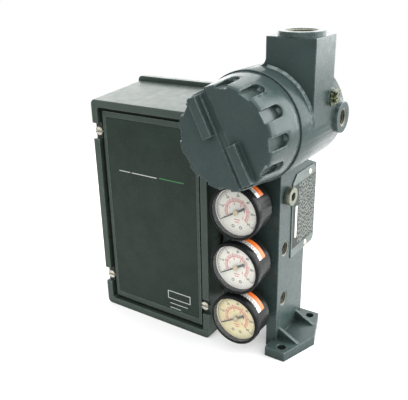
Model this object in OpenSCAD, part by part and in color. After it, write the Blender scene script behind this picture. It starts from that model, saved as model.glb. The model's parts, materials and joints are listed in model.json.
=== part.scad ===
// Pneumatic valve positioner with a current to pressure converter and three gauges.
// Working axes: X to the right, Y to the back, Z up, from the cover's front bottom left corner.
// The part is then moved so that its origin is on the feedback shaft, at the rear face.

/* [Case] */
// Width of the front cover
cover_w = 109; // [104:1:118]
// Height of the front cover
cover_h = 185; // [182:1:200]
// Depth of the front cover
cover_d = 59; // [56:1:66]
// Wall of the front cover
cover_wall = 3.5; // [2.5:0.5:4]
// Corner radius of cover and base
corner_r = 4; // [3:0.5:5]
// Width of the raised front rim
rim_w = 6; // [5:0.5:7]
// Width of the groove between rim and panel
groove_w = 2.9; // [2.5:0.1:3.5]
// Depth of that groove
groove_d = 5.5; // [5:0.5:7]
// Thickness of the front panel
panel_t = 2.5; // [1.5:0.5:3.5]
// Width of the panel's raised border at the sides
border_side = 2.8; // [2:0.2:4]
// Width of the panel's raised border at top and bottom
border_end = 4.5; // [3:0.5:6]
// Depth of the label field below the border
label_sink = 0.5; // [0.3:0.1:1]
// Height of the notch around each cover screw
notch_h = 13; // [11:0.5:16]
// Depth of the notch around each cover screw
notch_d = 4; // [3:0.5:4.5]
// Radius of a cover screw's head
cover_head_r = 3.7; // [3.2:0.1:3.8]
// Height of the lower cover screws
cover_screw_z = 28.7; // [24:0.1:34]
// Height between lower and upper cover screws
cover_screw_span = 130.6; // [124:0.1:134]
// Rise of the cover's top from front to rear
cover_rise = 5.2; // [3:0.2:6]
// Thickness of the gasket behind the cover
gasket_t = 1; // [0.6:0.2:2]

/* [Base] */
// Thickness of the base flange
flange_t = 6; // [5:0.5:8]
// Depth of the pan behind the flange
pan_d = 12; // [10:1:16]
// Wall of the pan
pan_wall = 4; // [3:0.5:5]
// Inset of the pan from the flange edge
pan_in = 4; // [3:0.5:5]
// Height of the lip above the front of the cover
lip_h = 9; // [7:0.2:12]
// Distance between the rear mounting holes, sideways
rear_span_x = 50; // [44:1:54]
// Distance between the rear mounting holes, upwards
rear_span_z = 60; // [56:1:64]
// Radius of a rear mounting hole
rear_hole_r = 2.5; // [2:0.1:3]

/* [Feedback] */
// Height of the feedback shaft above the underside
shaft_z = 62; // [60:1:66]
// Radius of the shaft in its bushing
shaft_r = 5; // [4.5:0.1:5.5]
// Radius of the shaft's free end
shaft_end_r = 4.75; // [4:0.05:4.9]
// Length of the shaft's free end
shaft_out = 25; // [20:1:35]
// Smallest radius of the cam
cam_min_r = 22; // [20:0.5:24]
// Thickness of the cam
cam_t = 3; // [2:0.5:4]
// Radius of the follower roller
roller_r = 5; // [4.5:0.1:5.5]
// Length of the lever from pivot to roller
lever_arm = 36.5; // [35:0.5:38]
// Length of the lever from pivot to range spring
spring_arm = 62; // [58:1:64]
// Height of the range spring
spring_h = 36; // [33:1:40]
// Mean radius of the range spring
spring_r = 5; // [4.5:0.1:5.5]
// Wire radius of the range spring
wire_r = 0.7; // [0.5:0.1:0.9]
// Thickness of the summing beam
beam_t = 5; // [4:0.5:6]

/* [Manifold] */
// Gap between the cover and the manifold
side_gap = 3; // [2:0.5:5]
// Width of the manifold block
block_w = 40; // [38:1:46]
// Depth of the manifold block
block_d = 42.5; // [40:0.5:46]
// Height of the block's underside
block_z = 30; // [24:1:31]
// Height of the block's top
block_top = 143; // [141:0.5:147]
// Thickness of the side plate
plate_t = 8; // [6:0.5:10]
// Radius of a tapped pipe port
port_r = 5.7; // [5:0.1:6]
// Depth of a tapped pipe port
port_d = 15; // [12:0.5:15]
// Thickness of the foot
foot_t = 8; // [6:0.5:10]
// Reach of the foot in front of its points, from the side plate
foot_reach = 23.5; // [20:0.5:28]
// Distance between the foot's holes
foot_span = 52; // [48:1:56]
// Radius of a foot hole
foot_hole_r = 3.3; // [2.5:0.1:3.5]

/* [Gauges] */
// Height of the lowest gauge
gauge_low = 36.4; // [36:0.1:38]
// Distance from gauge to gauge
gauge_pitch = 43; // [42:0.5:43.5]
// Radius of a gauge's bezel
bezel_r = 20; // [18.5:0.1:20.5]
// Radius of a gauge's drum
drum_r = 19; // [18.2:0.1:19.5]
// Depth of a gauge from bezel to back
gauge_d = 21; // [19:0.5:24]
// Distance from a gauge's back to the manifold
gauge_stem = 10.5; // [9:0.5:13]
// Direction of a pointer at rest, degrees from the right
pointer_zero = 211; // [200:1:235]

/* [Converter] */
// Gap between the cover and the converter
conv_gap = 2; // [1:0.5:4]
// Radius of the converter housing
conv_r = 37.5; // [37:0.1:40]
// Length of the converter housing
conv_len = 72; // [70:1:80]
// Radius of the housing's cavity
cavity_r = 30; // [28:0.5:31]
// Radius of the threaded neck
neck_r = 33; // [32:0.1:33.2]
// Length of the threaded neck
neck_len = 12; // [10:0.5:12.5]
// Radius of the cap at the joint
cap_r = 36.5; // [36.2:0.1:36.9]
// Radius of the cap at its face
cap_face_r = 33.5; // [33:0.1:35]
// Length of the cap
cap_len = 32; // [31:0.5:38]
// Number of grip pockets around the cap
pockets = 12; // [8:1:12]
// Width of a grip pocket
pocket_w = 8; // [6:0.5:9]
// Length of a grip pocket
pocket_len = 19; // [15:0.5:19]
// Width of a face lug
lug_w = 6.6; // [5:0.1:8]
// Height of a face lug
lug_h = 5.3; // [4:0.1:7]
// Direction of the face lugs, degrees from the right
lug_turn = -63.3; // [-90:0.1:90]
// Width of the conduit tower
tower_w = 34.5; // [33:0.5:37]
// Depth of the conduit tower
tower_d = 31; // [31:0.5:36]
// Height of the tower's top above the converter's axis
tower_h = 56.5; // [52:0.5:62]
// Radius of the conduit boss
boss_r = 15.3; // [14:0.1:15.4]
// Height of the conduit boss
boss_h = 3; // [2:0.5:6]
// Radius of the conduit entry
conduit_r = 10.5; // [9:0.1:11]
// Depth of the conduit entry's thread
conduit_depth = 20; // [15:0.5:24]
// Radius of the ring boss on the right
ring_r = 11; // [9:0.5:11.5]
// Radius of the ring boss's hole
ring_hole_r = 6; // [4:0.5:7]

/* [Fits] */
// Running clearance of a shaft in its bore
fit = 0.05; // [0.02:0.01:0.08]
// Gap between faces of pieces that move past each other
clear = 0.3; // [0.2:0.05:0.4]

/* [Hidden] */
$fn = 64;
over = 1;

// Places along the depth
base_y = cover_d + gasket_t;
pan_y = base_y + flange_t;
rear_y = pan_y + pan_d;
wall_y = rear_y - pan_wall;

// Cover screws
cover_screw_r = 2;
cover_head_t = 2.2;
cover_slot_w = 0.9;
cover_slot_d = 1;
screw_x = rim_w + groove_w - cover_head_r - clear;
screw_xs = [screw_x, cover_w - screw_x];
screw_zs = [cover_screw_z, cover_screw_z + cover_screw_span];
column_r = 5;
notch_w = rim_w + groove_w;
blind_floor = 1;
screw_bite = flange_t - blind_floor;

// Feedback train
shaft_x = cover_w / 2;
boss_out = 2;
boss_wall = 4;
rear_boss_r = 7;
bush_wall = 2;
bush_flange_t = 1.2;
bush_flange = 2.5;
bush_in = 1;
collar_t = 7.5;
collar = 3;
cam_nut_t = 4;
cam_nut_wall = 4.5;
shaft_tip = 2;
bush_y = base_y + boss_out;
collar_y1 = bush_y - bush_flange_t - clear;
cam_y1 = collar_y1 - collar_t;
cam_y0 = cam_y1 - cam_t;
nut_y0 = cam_y0 - cam_nut_t;
travel = 90;
lever_ratio = 0.16;
lever_t = 3;
lever_gap = 2;
lever_y1 = cam_y0 - lever_gap;
lever_y0 = lever_y1 - lever_t;
lever_half = 4.5;
lever_end = 3;
pivot_r = 3;
pivot_x = shaft_x - lever_arm;
pivot_z = shaft_z + cam_min_r + roller_r + clear;
post_r = 6;
post_gap = 1;
pin_short = 1;
post_hole_end = 2;
roller_pin_r = 2;
roller_gap = 1;
clip_t = 0.9;
clip_rim = 1.2;
spring_x = pivot_x + spring_arm;
mech_in = 2;
mech_y = lever_y0 + mech_in;
mech_half = 6.5;
tab_t = 2;
tab_rim = 2;
spigot_h = 3;
spigot_gap = 1;
seat_z = pivot_z + lever_half + tab_t;
beam_z = seat_z + spring_h;
beam_top = beam_z + beam_t;
beam_mid = beam_z + beam_t / 2;
beam_off = 2.5;
beam_x = shaft_x - beam_off;
beam_half = 34;
beam_pin_r = 2.5;
beam_hub = 3.5;
beam_post_gap = 1;
beam_front = 1;
pin_head = 2;
nozzle_arm = 26;
nozzle_x = beam_x - nozzle_arm;
nozzle_h = 17;
nozzle_shank_r = 2.5;
nozzle_r = 3.6;
nozzle_tip_r = 1.4;
nozzle_tip_h = 5;
nozzle_bore_r = 0.6;
nozzle_gap = 1.5;
flapper_t = 1;
flapper_r = 5;
shelf_t = 8;
shelf_z = beam_z - flapper_t - nozzle_gap - nozzle_h - shelf_t;
shelf_half = 6;
zero_arm = 16;
zero_x = beam_x - zero_arm;
zero_r = 2;
zero_gap = 1.6;
zero_rise = 11;
zero_ledge_z = beam_top + zero_rise;
zero_knob_r = 7;
zero_knob_h = 8;
zero_flute_r = 1;
zero_ledge_half = 9;
ledge_t = 6;
bellows_arm = 18;
bellows_x = beam_x + bellows_arm;
bellows_r = 11;
bellows_fold = 2.5;
bellows_tip_r = 4;
bellows_end = 2;
bellows_rim = 1;
bellows_gap = 1.2;
ledge_gap = 5;
bellows_z = cover_h - pan_in - pan_wall - ledge_gap - ledge_t;
bellows_h = bellows_z - beam_top - bellows_gap;

// Vent at the rear, in the pan's upper left corner
vent_r = 4.5;
vent_side = 10;
vent_x = pan_in + pan_wall + vent_side;
vent_drop = 14.2;
vent_z = cover_h - pan_in - pan_wall - vent_drop;
vent_in = 3;
vent_hex_r = 7.5;
vent_hex_t = 4;
vent_cap_r = 5.5;
vent_cap_t = 2;
vent_bore_r = 2;
vent_slit_r = 0.8;

// Relay
relay_w = 61;
relay_h = 15;
relay_d = 30;
relay_drop = 53;
relay_z = shaft_z - relay_drop;
relay_x = shaft_x - relay_w / 2;
spool_r = 4;
spool_in = 18;
spool_y = wall_y - spool_in;
spool_waist = 1.2;
land_len = 9;
spool_z = relay_z + relay_h / 2;
spool_out = 4;
ear_w = 7;
ear_t = 4;
relay_screw_r = 2;
relay_head_r = 3.2;
relay_head_t = 2.4;

// Manifold
man_x0 = cover_w + side_gap;
man_x1 = man_x0 + block_w;
plate_x = man_x1 + plate_t;
man_y0 = base_y - block_d;
plate_back = 2;
plate_y1 = base_y + plate_back;
tail_out = 1.5;
tail_y1 = rear_y + tail_out;
tail_z0 = 71.5;
tail_drop = 6;
tail_z1 = block_top - tail_drop;
tail_step = 2.5;
plate_rise = 2.2;
plate_top = block_top + plate_rise;
wing_gap = 1;
wing_z0 = tail_z0 + wing_gap / 2;
wing_drop = 7;
wing_z1 = block_top - wing_drop;
wing_floor = 2;
plate_root = 1;
wing_x1 = man_x1 - plate_root - clear;
man_screw_r = 2.5;
man_head_r = 4.25;
man_head_t = 5;
man_head_in = 1;
man_screw_in = 6;
man_screw_bite = 12;
man_hex_r = 2.3;
man_hex_floor = 2;
man_screw_xs = [man_x0 + man_screw_in, man_x1 - man_screw_in];
man_screw_zs = [wing_z0 + man_screw_in, wing_z1 - man_screw_in];
gauge_in = 12;
gauge_x = man_x1 - gauge_in;
function gauge_z(n) = gauge_low + (n - 1) * gauge_pitch;
port_rise = 3.6;
port_in = 11;
port_y = man_y0 + port_in;
plug_out = 5;
plug_in = 9;
plug_rim = 1;
plug_hex_r = 3.5;
plug_hex_in = 2;
foot_shift = 2;
foot_y = (man_y0 + plate_y1) / 2 - foot_shift;
foot_half = 32.5;
foot_root = 3.5;
foot_flat = 13;
foot_hole_in = 7.5;
foot_hole_x = plate_x + foot_hole_in;
gusset_t = 3;
gusset_span = 30;
gusset_rise = 8.5;
gusset_reach = 17;
name_t = 0.8;
name_in = 19;
name_y0 = man_y0 + name_in;
name_y1 = tail_y1 - tail_out;
name_z0 = tail_z0;
name_drop = 5;
name_z1 = block_top - name_drop;
name_cut = 6;
drive_r = 1.6;
drive_top_in = 12.6;
drive_top_drop = 4.4;
drive_low_in = 16.4;
drive_low_rise = 3.5;
drive_bite = 4;
drive_head_t = 0.9;
drive_head_out = 0.7;
name_port_r = port_r + 2;

// Gauges
gauge_y1 = man_y0 - gauge_stem;
gauge_y0 = gauge_y1 - gauge_d;
bezel_len = 6.5;
bezel_edge = 1;
lens_t = 1.2;
lens_in = 0.8;
lens_lip = 0.4;
gauge_wall = 0.8;
gauge_back = 2.5;
gauge_hollow_r = drum_r - gauge_wall;
lens_y = gauge_y0 + lens_in;
dial_t = 0.6;
dial_in = 4.9;
dial_y = gauge_y0 + dial_in;
dial_edge = 0.4;
pointer_lift = 1.8;
pointer_y = dial_y - pointer_lift;
pointer_short = 3.2;
pointer_hub_r = 1.9;
pointer_cap_r = 1.6;
pointer_cap_t = 0.7;
pointer_half = 0.7;
pointer_tip = 0.25;
tail_len = 8;
tail_half = 1;
staff_bite = 3;
pointer_t = 0.7;
staff_r = 0.8;
stem_r = 4.4;
stem_collar = 0.6;
stem_hex_r = 7;
stem_hex_gap = 4.5;
stem_bore_r = 1.2;
stem_bite = 8;
movement_r = 12.2;
tube_r = 1.4;
socket_half_w = 7;
socket_half_h = 5;
link_half = 2.5;
staff_hole = 4;

// Converter
conv_x = cover_w + conv_gap + conv_r;
seal_t = 1;
saddle_h = 1.5;
conv_z = block_top + seal_t + saddle_h + conv_r;
conv_past = 4;
conv_back = base_y + conv_past;
joint_y = conv_back - conv_len;
conv_wall = 6;
conv_chamfer = 3;
cap_gap = 0.4;
cap_y1 = joint_y - cap_gap;
cap_y0 = cap_y1 - cap_len;
cap_bore_r = neck_r + clear;
seal_ring_t = 1.6;
seal_ring_w = 1.5;
seal_ring_r = cap_bore_r + seal_ring_w;
cap_hollow_in = 3;
cap_hollow_r = cavity_r - cap_hollow_in;
cap_wall = 7;
pocket_depth = 2.2;
pocket_floor = cap_face_r - pocket_depth;
pocket_first = -2.4;
cap_chamfer = 1;
lug_off = 6.7;
lug_start = 4.5;
bar_slot_w = 5;
bar_slot_d = 1;
lug_edge = 1.3;
tower_x1 = conv_x + conv_r;
tower_x0 = tower_x1 - tower_w;
tower_in = 15;
tower_y0 = joint_y + tower_in;
tower_y1 = tower_y0 + tower_d;
tower_top = conv_z + tower_h;
tower_fillet = 6;
conduit_step = 1.5;
skin = 1;
conduit_x = (tower_x0 + tower_x1) / 2;
conduit_y = (tower_y0 + tower_y1) / 2;
ring_y = conv_back - ring_r - skin;
ring_out = 3;
ring_x = tower_x1 + ring_out;
ring_drop = 1;
ring_z = conv_z - ring_drop;
ring_depth = 8;
saddle_half = 22;
saddle_x0 = conv_x - saddle_half;
saddle_x1 = wing_x1;
saddle_in_front = 4.5;
saddle_in_back = 2;
saddle_y0 = man_y0 + saddle_in_front;
saddle_y1 = base_y - saddle_in_back;
bolt_r = 3;
bolt_head_r = 4.8;
bolt_head_t = 4;
bolt_hex_r = 2.6;
bolt_hex_floor = 1.5;
bolt_in = 6;
bolt_ys = [saddle_y0 + bolt_in, saddle_y1 - bolt_in];
bolt_bite = 10;
bolt_off = 4;
bolt_x = conv_x - bolt_off;
bolt_seat_z = conv_z - cavity_r + skin;
ground_in = 3;
ground_y = tower_y1 - ground_in;
ground_rise = 16;
ground_z = conv_z + ground_rise;
ground_pad_r = 6;
ground_pad_t = 1;
ground_r = 2;
ground_bite = 4;
ground_head_r = 3.4;
ground_head_t = 2.6;
clamp_half = 4.9;
clamp_t = 1.4;
clamp_lip = 2.4;
clamp_lip_t = 1.2;
slot_w = 1;
slot_d = 1.2;
board_t = 4;
coil_len = 14;
board_y1 = conv_back - conv_wall - coil_len;
board_y0 = board_y1 - board_t;
coil_in = 8;
coil_r = cavity_r - coil_in;
terminal_r = 2;
terminal_span = 11;
terminal_floor = 0.5;
terminal_head_t = 3;

paint = "#4b5354";
panel_black = "#23282a";
nickel = "#c9cbc6";
brass = "#b08d4c";
steel = "#9aa0a3";
rubber = "#1b1c1d";

// The part's own frame: origin on the feedback shaft at the rear face
module in_frame() {
    translate([-shaft_x, -rear_y, -shaft_z]) children();
}

// A flat shape drawn in X and Z, from y0 back to y1
module plate_xz(y0, y1) {
    translate([0, y1, 0]) rotate([90, 0, 0]) linear_extrude(y1 - y0) children();
}

// A flat shape drawn in Y and Z, from x0 right to x1
module plate_yz(x0, x1) {
    translate([x0, 0, 0]) rotate([90, 0, 90]) linear_extrude(x1 - x0) children();
}

// A round bar along Y
module rod_y(x, z, y0, y1, r, end_r) {
    translate([x, y0, z]) rotate([-90, 0, 0])
        cylinder(h = y1 - y0, r1 = r, r2 = is_undef(end_r) ? r : end_r);
}

// A round bar along X
module rod_x(y, z, x0, x1, r, end_r) {
    translate([x0, y, z]) rotate([0, 90, 0])
        cylinder(h = x1 - x0, r1 = r, r2 = is_undef(end_r) ? r : end_r);
}

// A round bar along Z
module rod_z(x, y, z0, z1, r, end_r) {
    translate([x, y, z0]) cylinder(h = z1 - z0, r1 = r, r2 = is_undef(end_r) ? r : end_r);
}

// A hexagonal bar along Y, by its corner radius
module hex_y(x, z, y0, y1, r) {
    translate([x, y0, z]) rotate([-90, 0, 0]) cylinder(h = y1 - y0, r = r, $fn = 6);
}

// A box from its low corner to its high corner
module block(low, high) {
    translate(low) cube(high - low);
}

// A rectangle with round corners, inset from the outline w by h
module round_rect(w, h, r, inset = 0) {
    a = w - 2 * inset;
    b = h - 2 * inset;
    translate([inset, inset]) {
        translate([r, 0]) square([a - 2 * r, b]);
        translate([0, r]) square([a, b - 2 * r]);
        for (x = [r, a - r], z = [r, b - r]) translate([x, z]) circle(r);
    }
}

// Circles at the four cover screws
module screw_dots(r) {
    for (x = screw_xs, z = screw_zs) translate([x, z]) circle(r);
}

// Case

// The cover's outer form: straight below, with a top that rises towards the rear
module cover_form() {
    lean = atan(cover_rise / cover_d);
    half = cover_h / 2;
    intersection() {
        plate_xz(0, cover_d) round_rect(cover_w, cover_h, corner_r);
        block([-over, -over, -over], [cover_w + over, cover_d + over, half]);
    }
    intersection() {
        translate([0, 0, cover_h]) rotate([lean, 0, 0]) translate([0, 0, -cover_h])
            plate_xz(-half, cover_d + half) round_rect(cover_w, cover_h, corner_r);
        block([-over, 0, half], [cover_w + over, cover_d, cover_h + cover_rise + over]);
    }
}

module front_cover() {
    color(paint) difference() {
        cover_form();
        plate_xz(-over, notch_d) round_rect(cover_w, cover_h, corner_r / 2, rim_w);
        plate_xz(-over, groove_d) difference() {
            round_rect(cover_w, cover_h, corner_r / 2, rim_w);
            screw_dots(cover_head_r + clear / 2);
        }
        plate_xz(groove_d + cover_wall, cover_d + over) difference() {
            round_rect(cover_w, cover_h, corner_r / 2, cover_wall);
            screw_dots(column_r);
        }
        for (low = [-over, cover_w - notch_w], z = screw_zs)
            block([low, -over, z - notch_h / 2], [low + notch_w + over, notch_d, z + notch_h / 2]);
        plate_xz(notch_d - over, cover_d + over) screw_dots(cover_screw_r + fit);
    }
}

module cover_gasket() {
    color(rubber) plate_xz(cover_d, base_y) difference() {
        round_rect(cover_w, cover_h + cover_rise, corner_r);
        difference() {
            round_rect(cover_w, cover_h, corner_r / 2, cover_wall);
            screw_dots(column_r);
        }
        screw_dots(cover_screw_r + clear);
    }
}

module cover_panel() {
    inset = rim_w + groove_w;
    front = groove_d - panel_t;
    color(panel_black) difference() {
        plate_xz(front, groove_d) round_rect(cover_w, cover_h, corner_r / 4, inset);
        translate([0, 0, border_end - border_side]) plate_xz(front - over, front + label_sink)
            round_rect(cover_w, cover_h - 2 * (border_end - border_side), corner_r / 4,
                inset + border_side);
    }
}

module cover_screws() {
    head_y = notch_d - cover_head_t;
    color(nickel) for (x = screw_xs, z = screw_zs) {
        difference() {
            rod_y(x, z, head_y, notch_d, cover_head_r);
            block([x - cover_head_r - over, head_y - over, z - cover_slot_w / 2],
                [x + cover_head_r + over, head_y + cover_slot_d, z + cover_slot_w / 2]);
        }
        rod_y(x, z, notch_d, base_y + screw_bite - blind_floor, cover_screw_r);
    }
}

module rear_bosses(r, y0, y1) {
    for (dx = [-1, 1], dz = [-1, 1])
        rod_y(shaft_x + dx * rear_span_x / 2, shaft_z + dz * rear_span_z / 2, y0, y1, r);
}

// A bracket standing forward from the pan's rear wall
module bracket(x, half, z, t) {
    block([x - half, mech_y - mech_half, z], [x + half, wall_y + over, z + t]);
}

module base_casting() {
    beam_post_y = mech_y + mech_half + beam_post_gap;
    color(paint) difference() {
        union() {
            difference() {
                union() {
                    plate_xz(base_y, pan_y) round_rect(cover_w, cover_h + lip_h, corner_r);
                    plate_xz(pan_y - over, rear_y) round_rect(cover_w, cover_h, corner_r, pan_in);
                    block([cover_w - pan_in - over, base_y + wing_gap, wing_z0],
                        [wing_x1, rear_y, wing_z1]);
                }
                plate_xz(base_y - over, wall_y)
                    round_rect(cover_w, cover_h, corner_r / 2, pan_in + pan_wall);
                block([man_x0 + 2 * man_screw_in, pan_y + wing_floor, wing_z0 + 2 * man_screw_in],
                    [man_x1 - 2 * man_screw_in, rear_y + over, wing_z1 - 2 * man_screw_in]);
            }
            rod_y(shaft_x, shaft_z, bush_y, rear_y, shaft_r + bush_wall + boss_wall);
            rod_y(pivot_x, pivot_z, lever_y1 + post_gap, wall_y + over, post_r);
            rod_y(beam_x, beam_mid, beam_post_y, wall_y + over, post_r);
            rear_bosses(rear_boss_r, pan_y, wall_y + over);
            bracket(nozzle_x, shelf_half, shelf_z, shelf_t);
            bracket(zero_x, zero_ledge_half, zero_ledge_z, ledge_t);
            bracket(bellows_x, bellows_r + bellows_rim, bellows_z, ledge_t);
        }
        plate_xz(base_y - over, base_y + screw_bite) screw_dots(cover_screw_r + clear);
        rod_y(shaft_x, shaft_z, base_y, rear_y + over, shaft_r + bush_wall);
        rod_y(pivot_x, pivot_z, lever_y1, wall_y - post_hole_end, pivot_r + fit);
        rod_y(beam_x, beam_mid, beam_post_y - over, wall_y - post_hole_end, beam_pin_r + fit);
        rear_bosses(rear_hole_r, pan_y + 2 * blind_floor, rear_y + over);
        rod_z(nozzle_x, mech_y, shelf_z - over, shelf_z + shelf_t + over, nozzle_shank_r + fit);
        rod_z(zero_x, mech_y, zero_ledge_z - over, zero_ledge_z + ledge_t + over, zero_r + fit);
        for (x = relay_ear_xs()) rod_y(x, spool_z, wall_y - over, rear_y - blind_floor, relay_screw_r + fit);
        for (x = man_screw_xs, z = man_screw_zs) {
            rod_y(x, z, base_y, rear_y + over, man_screw_r + fit);
            rod_y(x, z, rear_y - man_head_t - man_head_in, rear_y + over, man_head_r + clear);
        }
        rod_y(vent_x, vent_z, wall_y - over, rear_y + over, vent_r + fit);
    }
}

module vent_plug() {
    hex_y1 = rear_y + vent_hex_t;
    color(brass) difference() {
        union() {
            hex_y(vent_x, vent_z, rear_y, hex_y1, vent_hex_r);
            rod_y(vent_x, vent_z, hex_y1, hex_y1 + vent_cap_t, vent_cap_r);
            rod_y(vent_x, vent_z, wall_y - vent_in, rear_y, vent_r);
        }
        rod_y(vent_x, vent_z, wall_y - vent_in - over, hex_y1 + vent_cap_t / 2, vent_bore_r);
        rod_x(hex_y1 + vent_cap_t / 2, vent_z, vent_x - vent_hex_r, vent_x + vent_hex_r, vent_slit_r);
    }
}

// Feedback train

module shaft_bushing() {
    color(brass) difference() {
        union() {
            rod_y(shaft_x, shaft_z, bush_y, rear_y - bush_in, shaft_r + bush_wall);
            rod_y(shaft_x, shaft_z, bush_y - bush_flange_t, bush_y, shaft_r + bush_wall + bush_flange);
        }
        rod_y(shaft_x, shaft_z, bush_y - 2 * bush_flange_t, rear_y, shaft_r + fit);
    }
}

module feedback_shaft() {
    chamfer = 1;
    color(steel) {
        rod_y(shaft_x, shaft_z, nut_y0 - shaft_tip, rear_y, shaft_r);
        rod_y(shaft_x, shaft_z, cam_y1, collar_y1, shaft_r + collar);
        rod_y(shaft_x, shaft_z, rear_y, rear_y + shaft_out, shaft_end_r);
        rod_y(shaft_x, shaft_z, rear_y + shaft_out, rear_y + shaft_out + chamfer, shaft_end_r,
            shaft_end_r - chamfer);
    }
}

// Centre of the roller, seen from the cam, when the cam has turned by a
function roller_path(a) = let (
        lift = lever_ratio * a,
        cx = lever_arm * (cos(lift) - 1),
        cz = cam_min_r + roller_r + clear + lever_arm * sin(lift))
    [cx * cos(a) - cz * sin(a), cx * sin(a) + cz * cos(a)];

// Point of the cam's edge under the roller at that turn
function cam_edge(a) = let (
        p = roller_path(a),
        t = roller_path(a + 0.5) - roller_path(a - 0.5))
    p + [-t[1], t[0]] / norm(t) * (roller_r + clear);

module cam() {
    before = -10;
    after = travel + 10;
    r0 = norm(cam_edge(before));
    r1 = norm(cam_edge(after));
    working = [for (a = [before : 5 : after]) cam_edge(a)];
    back = [for (s = [1 : 24]) let (a = 90 + after + s * 10, r = r1 + (r0 - r1) * s / 25)
        r * [cos(a), sin(a)]];
    color(brass) plate_xz(cam_y0, cam_y1) translate([shaft_x, shaft_z]) difference() {
        polygon(concat(working, back));
        circle(shaft_r + fit);
    }
}

module cam_nut() {
    color(steel) difference() {
        hex_y(shaft_x, shaft_z, nut_y0, cam_y0, shaft_r + cam_nut_wall);
        rod_y(shaft_x, shaft_z, nut_y0 - over, cam_y0 + over, shaft_r + fit);
    }
}

module feedback_lever() {
    color(steel) {
        plate_xz(lever_y0, lever_y1) difference() {
            union() {
                translate([pivot_x, pivot_z]) circle(post_r);
                translate([pivot_x, pivot_z - lever_half])
                    square([spring_arm + spring_r + lever_end, 2 * lever_half]);
            }
            translate([pivot_x, pivot_z]) circle(pivot_r + fit);
            translate([shaft_x, pivot_z]) circle(roller_pin_r + fit);
        }
        block([spring_x - spring_r - tab_rim, mech_y - mech_half, seat_z - tab_t],
            [spring_x + spring_r + tab_rim, mech_y + mech_half, seat_z]);
        rod_z(spring_x, mech_y, seat_z, seat_z + spigot_h, spring_r - wire_r - spigot_gap);
    }
}

module lever_pivot() {
    head_y = lever_y0 - clear;
    color(steel) {
        rod_y(pivot_x, pivot_z, head_y, wall_y - post_hole_end - pin_short, pivot_r);
        rod_y(pivot_x, pivot_z, head_y - pin_head, head_y, pivot_r + pin_head);
    }
}

module follower_roller() {
    color(nickel) difference() {
        rod_y(shaft_x, pivot_z, lever_y1 + roller_gap, cam_y1 + roller_gap, roller_r);
        rod_y(shaft_x, pivot_z, lever_y1, cam_y1 + 2 * roller_gap, roller_pin_r + fit);
    }
}

module roller_pin() {
    clip_y = cam_y1 + roller_gap + clear;
    color(steel) {
        rod_y(shaft_x, pivot_z, lever_y0, clip_y + clip_t, roller_pin_r);
        rod_y(shaft_x, pivot_z, lever_y0 - clip_t, lever_y0, roller_pin_r + clip_rim);
        rod_y(shaft_x, pivot_z, clip_y, clip_y + clip_t, roller_pin_r + clip_rim);
    }
}

// Point at angle s around the wire, at turn angle a of the coil
function coil_point(a, s, turns) = let (
        r = spring_r + wire_r * cos(s),
        rise = (spring_h - 2 * wire_r - 2 * fit) * a / (360 * turns))
    [r * cos(a), r * sin(a), wire_r + fit + rise + wire_r * sin(s)];

module range_spring() {
    turns = 7;
    sides = 8;
    steps = turns * 16;
    points = [for (i = [0 : steps], k = [0 : sides - 1])
        coil_point(i * 360 * turns / steps, k * 360 / sides, turns)];
    skin = [for (i = [0 : steps - 1], k = [0 : sides - 1]) let (n = (k + 1) % sides)
        [i * sides + k, (i + 1) * sides + k, (i + 1) * sides + n, i * sides + n]];
    ends = [[for (k = [0 : sides - 1]) k],
        [for (k = [0 : sides - 1]) (steps + 1) * sides - 1 - k]];
    color(nickel) translate([spring_x, mech_y, seat_z])
        polyhedron(points = points, faces = concat(skin, ends));
}

module summing_beam() {
    beam_y0 = mech_y - mech_half + beam_front;
    color(steel) difference() {
        union() {
            block([beam_x - beam_half, beam_y0, beam_z],
                [spring_x + spring_r + tab_rim, mech_y + mech_half, beam_top]);
            rod_y(beam_x, beam_mid, beam_y0, mech_y + mech_half, beam_pin_r + beam_hub);
        }
        rod_y(beam_x, beam_mid, mech_y - 2 * mech_half, mech_y + 2 * mech_half, beam_pin_r + fit);
    }
}

module beam_pivot() {
    head_y = mech_y - mech_half + beam_front - clear;
    color(steel) {
        rod_y(beam_x, beam_mid, head_y, wall_y - post_hole_end - pin_short, beam_pin_r);
        rod_y(beam_x, beam_mid, head_y - pin_head, head_y, beam_pin_r + pin_head);
    }
}

module flapper() {
    color(nickel) rod_z(nozzle_x, mech_y, beam_z - flapper_t, beam_z, flapper_r);
}

module nozzle() {
    top = beam_z - flapper_t - nozzle_gap;
    foot = shelf_z + shelf_t;
    color(brass) difference() {
        union() {
            rod_z(nozzle_x, mech_y, shelf_z, foot, nozzle_shank_r);
            rod_z(nozzle_x, mech_y, foot, top - nozzle_tip_h, nozzle_r);
            rod_z(nozzle_x, mech_y, top - nozzle_tip_h, top, nozzle_r, nozzle_tip_r);
        }
        rod_z(nozzle_x, mech_y, shelf_z - over, top + over, nozzle_bore_r);
    }
}

module input_bellows() {
    folds = 6;
    step = (bellows_h - 2 * bellows_end) / folds;
    neck_r = bellows_r - bellows_fold;
    color(brass) translate([bellows_x, mech_y, beam_top + bellows_gap]) {
        cylinder(h = bellows_end, r = bellows_tip_r);
        for (i = [0 : folds - 1]) translate([0, 0, bellows_end + i * step]) {
            cylinder(h = step / 2, r1 = neck_r, r2 = bellows_r);
            translate([0, 0, step / 2]) cylinder(h = step / 2, r1 = bellows_r, r2 = neck_r);
        }
        translate([0, 0, bellows_h - bellows_end]) cylinder(h = bellows_end, r = bellows_r - bellows_rim);
    }
}

module zero_knob() {
    top = zero_ledge_z + ledge_t;
    color(brass) {
        rod_z(zero_x, mech_y, beam_top + zero_gap, top + clear, zero_r);
        difference() {
            rod_z(zero_x, mech_y, top + clear, top + zero_knob_h, zero_knob_r);
            for (a = [0 : 30 : 359]) translate([zero_x, mech_y, 0]) rotate(a)
                rod_z(zero_knob_r, 0, top, top + zero_knob_h + over, zero_flute_r);
        }
    }
}

// Relay

function relay_ear_xs() = [relay_x - ear_w / 2, relay_x + relay_w + ear_w / 2];

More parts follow.
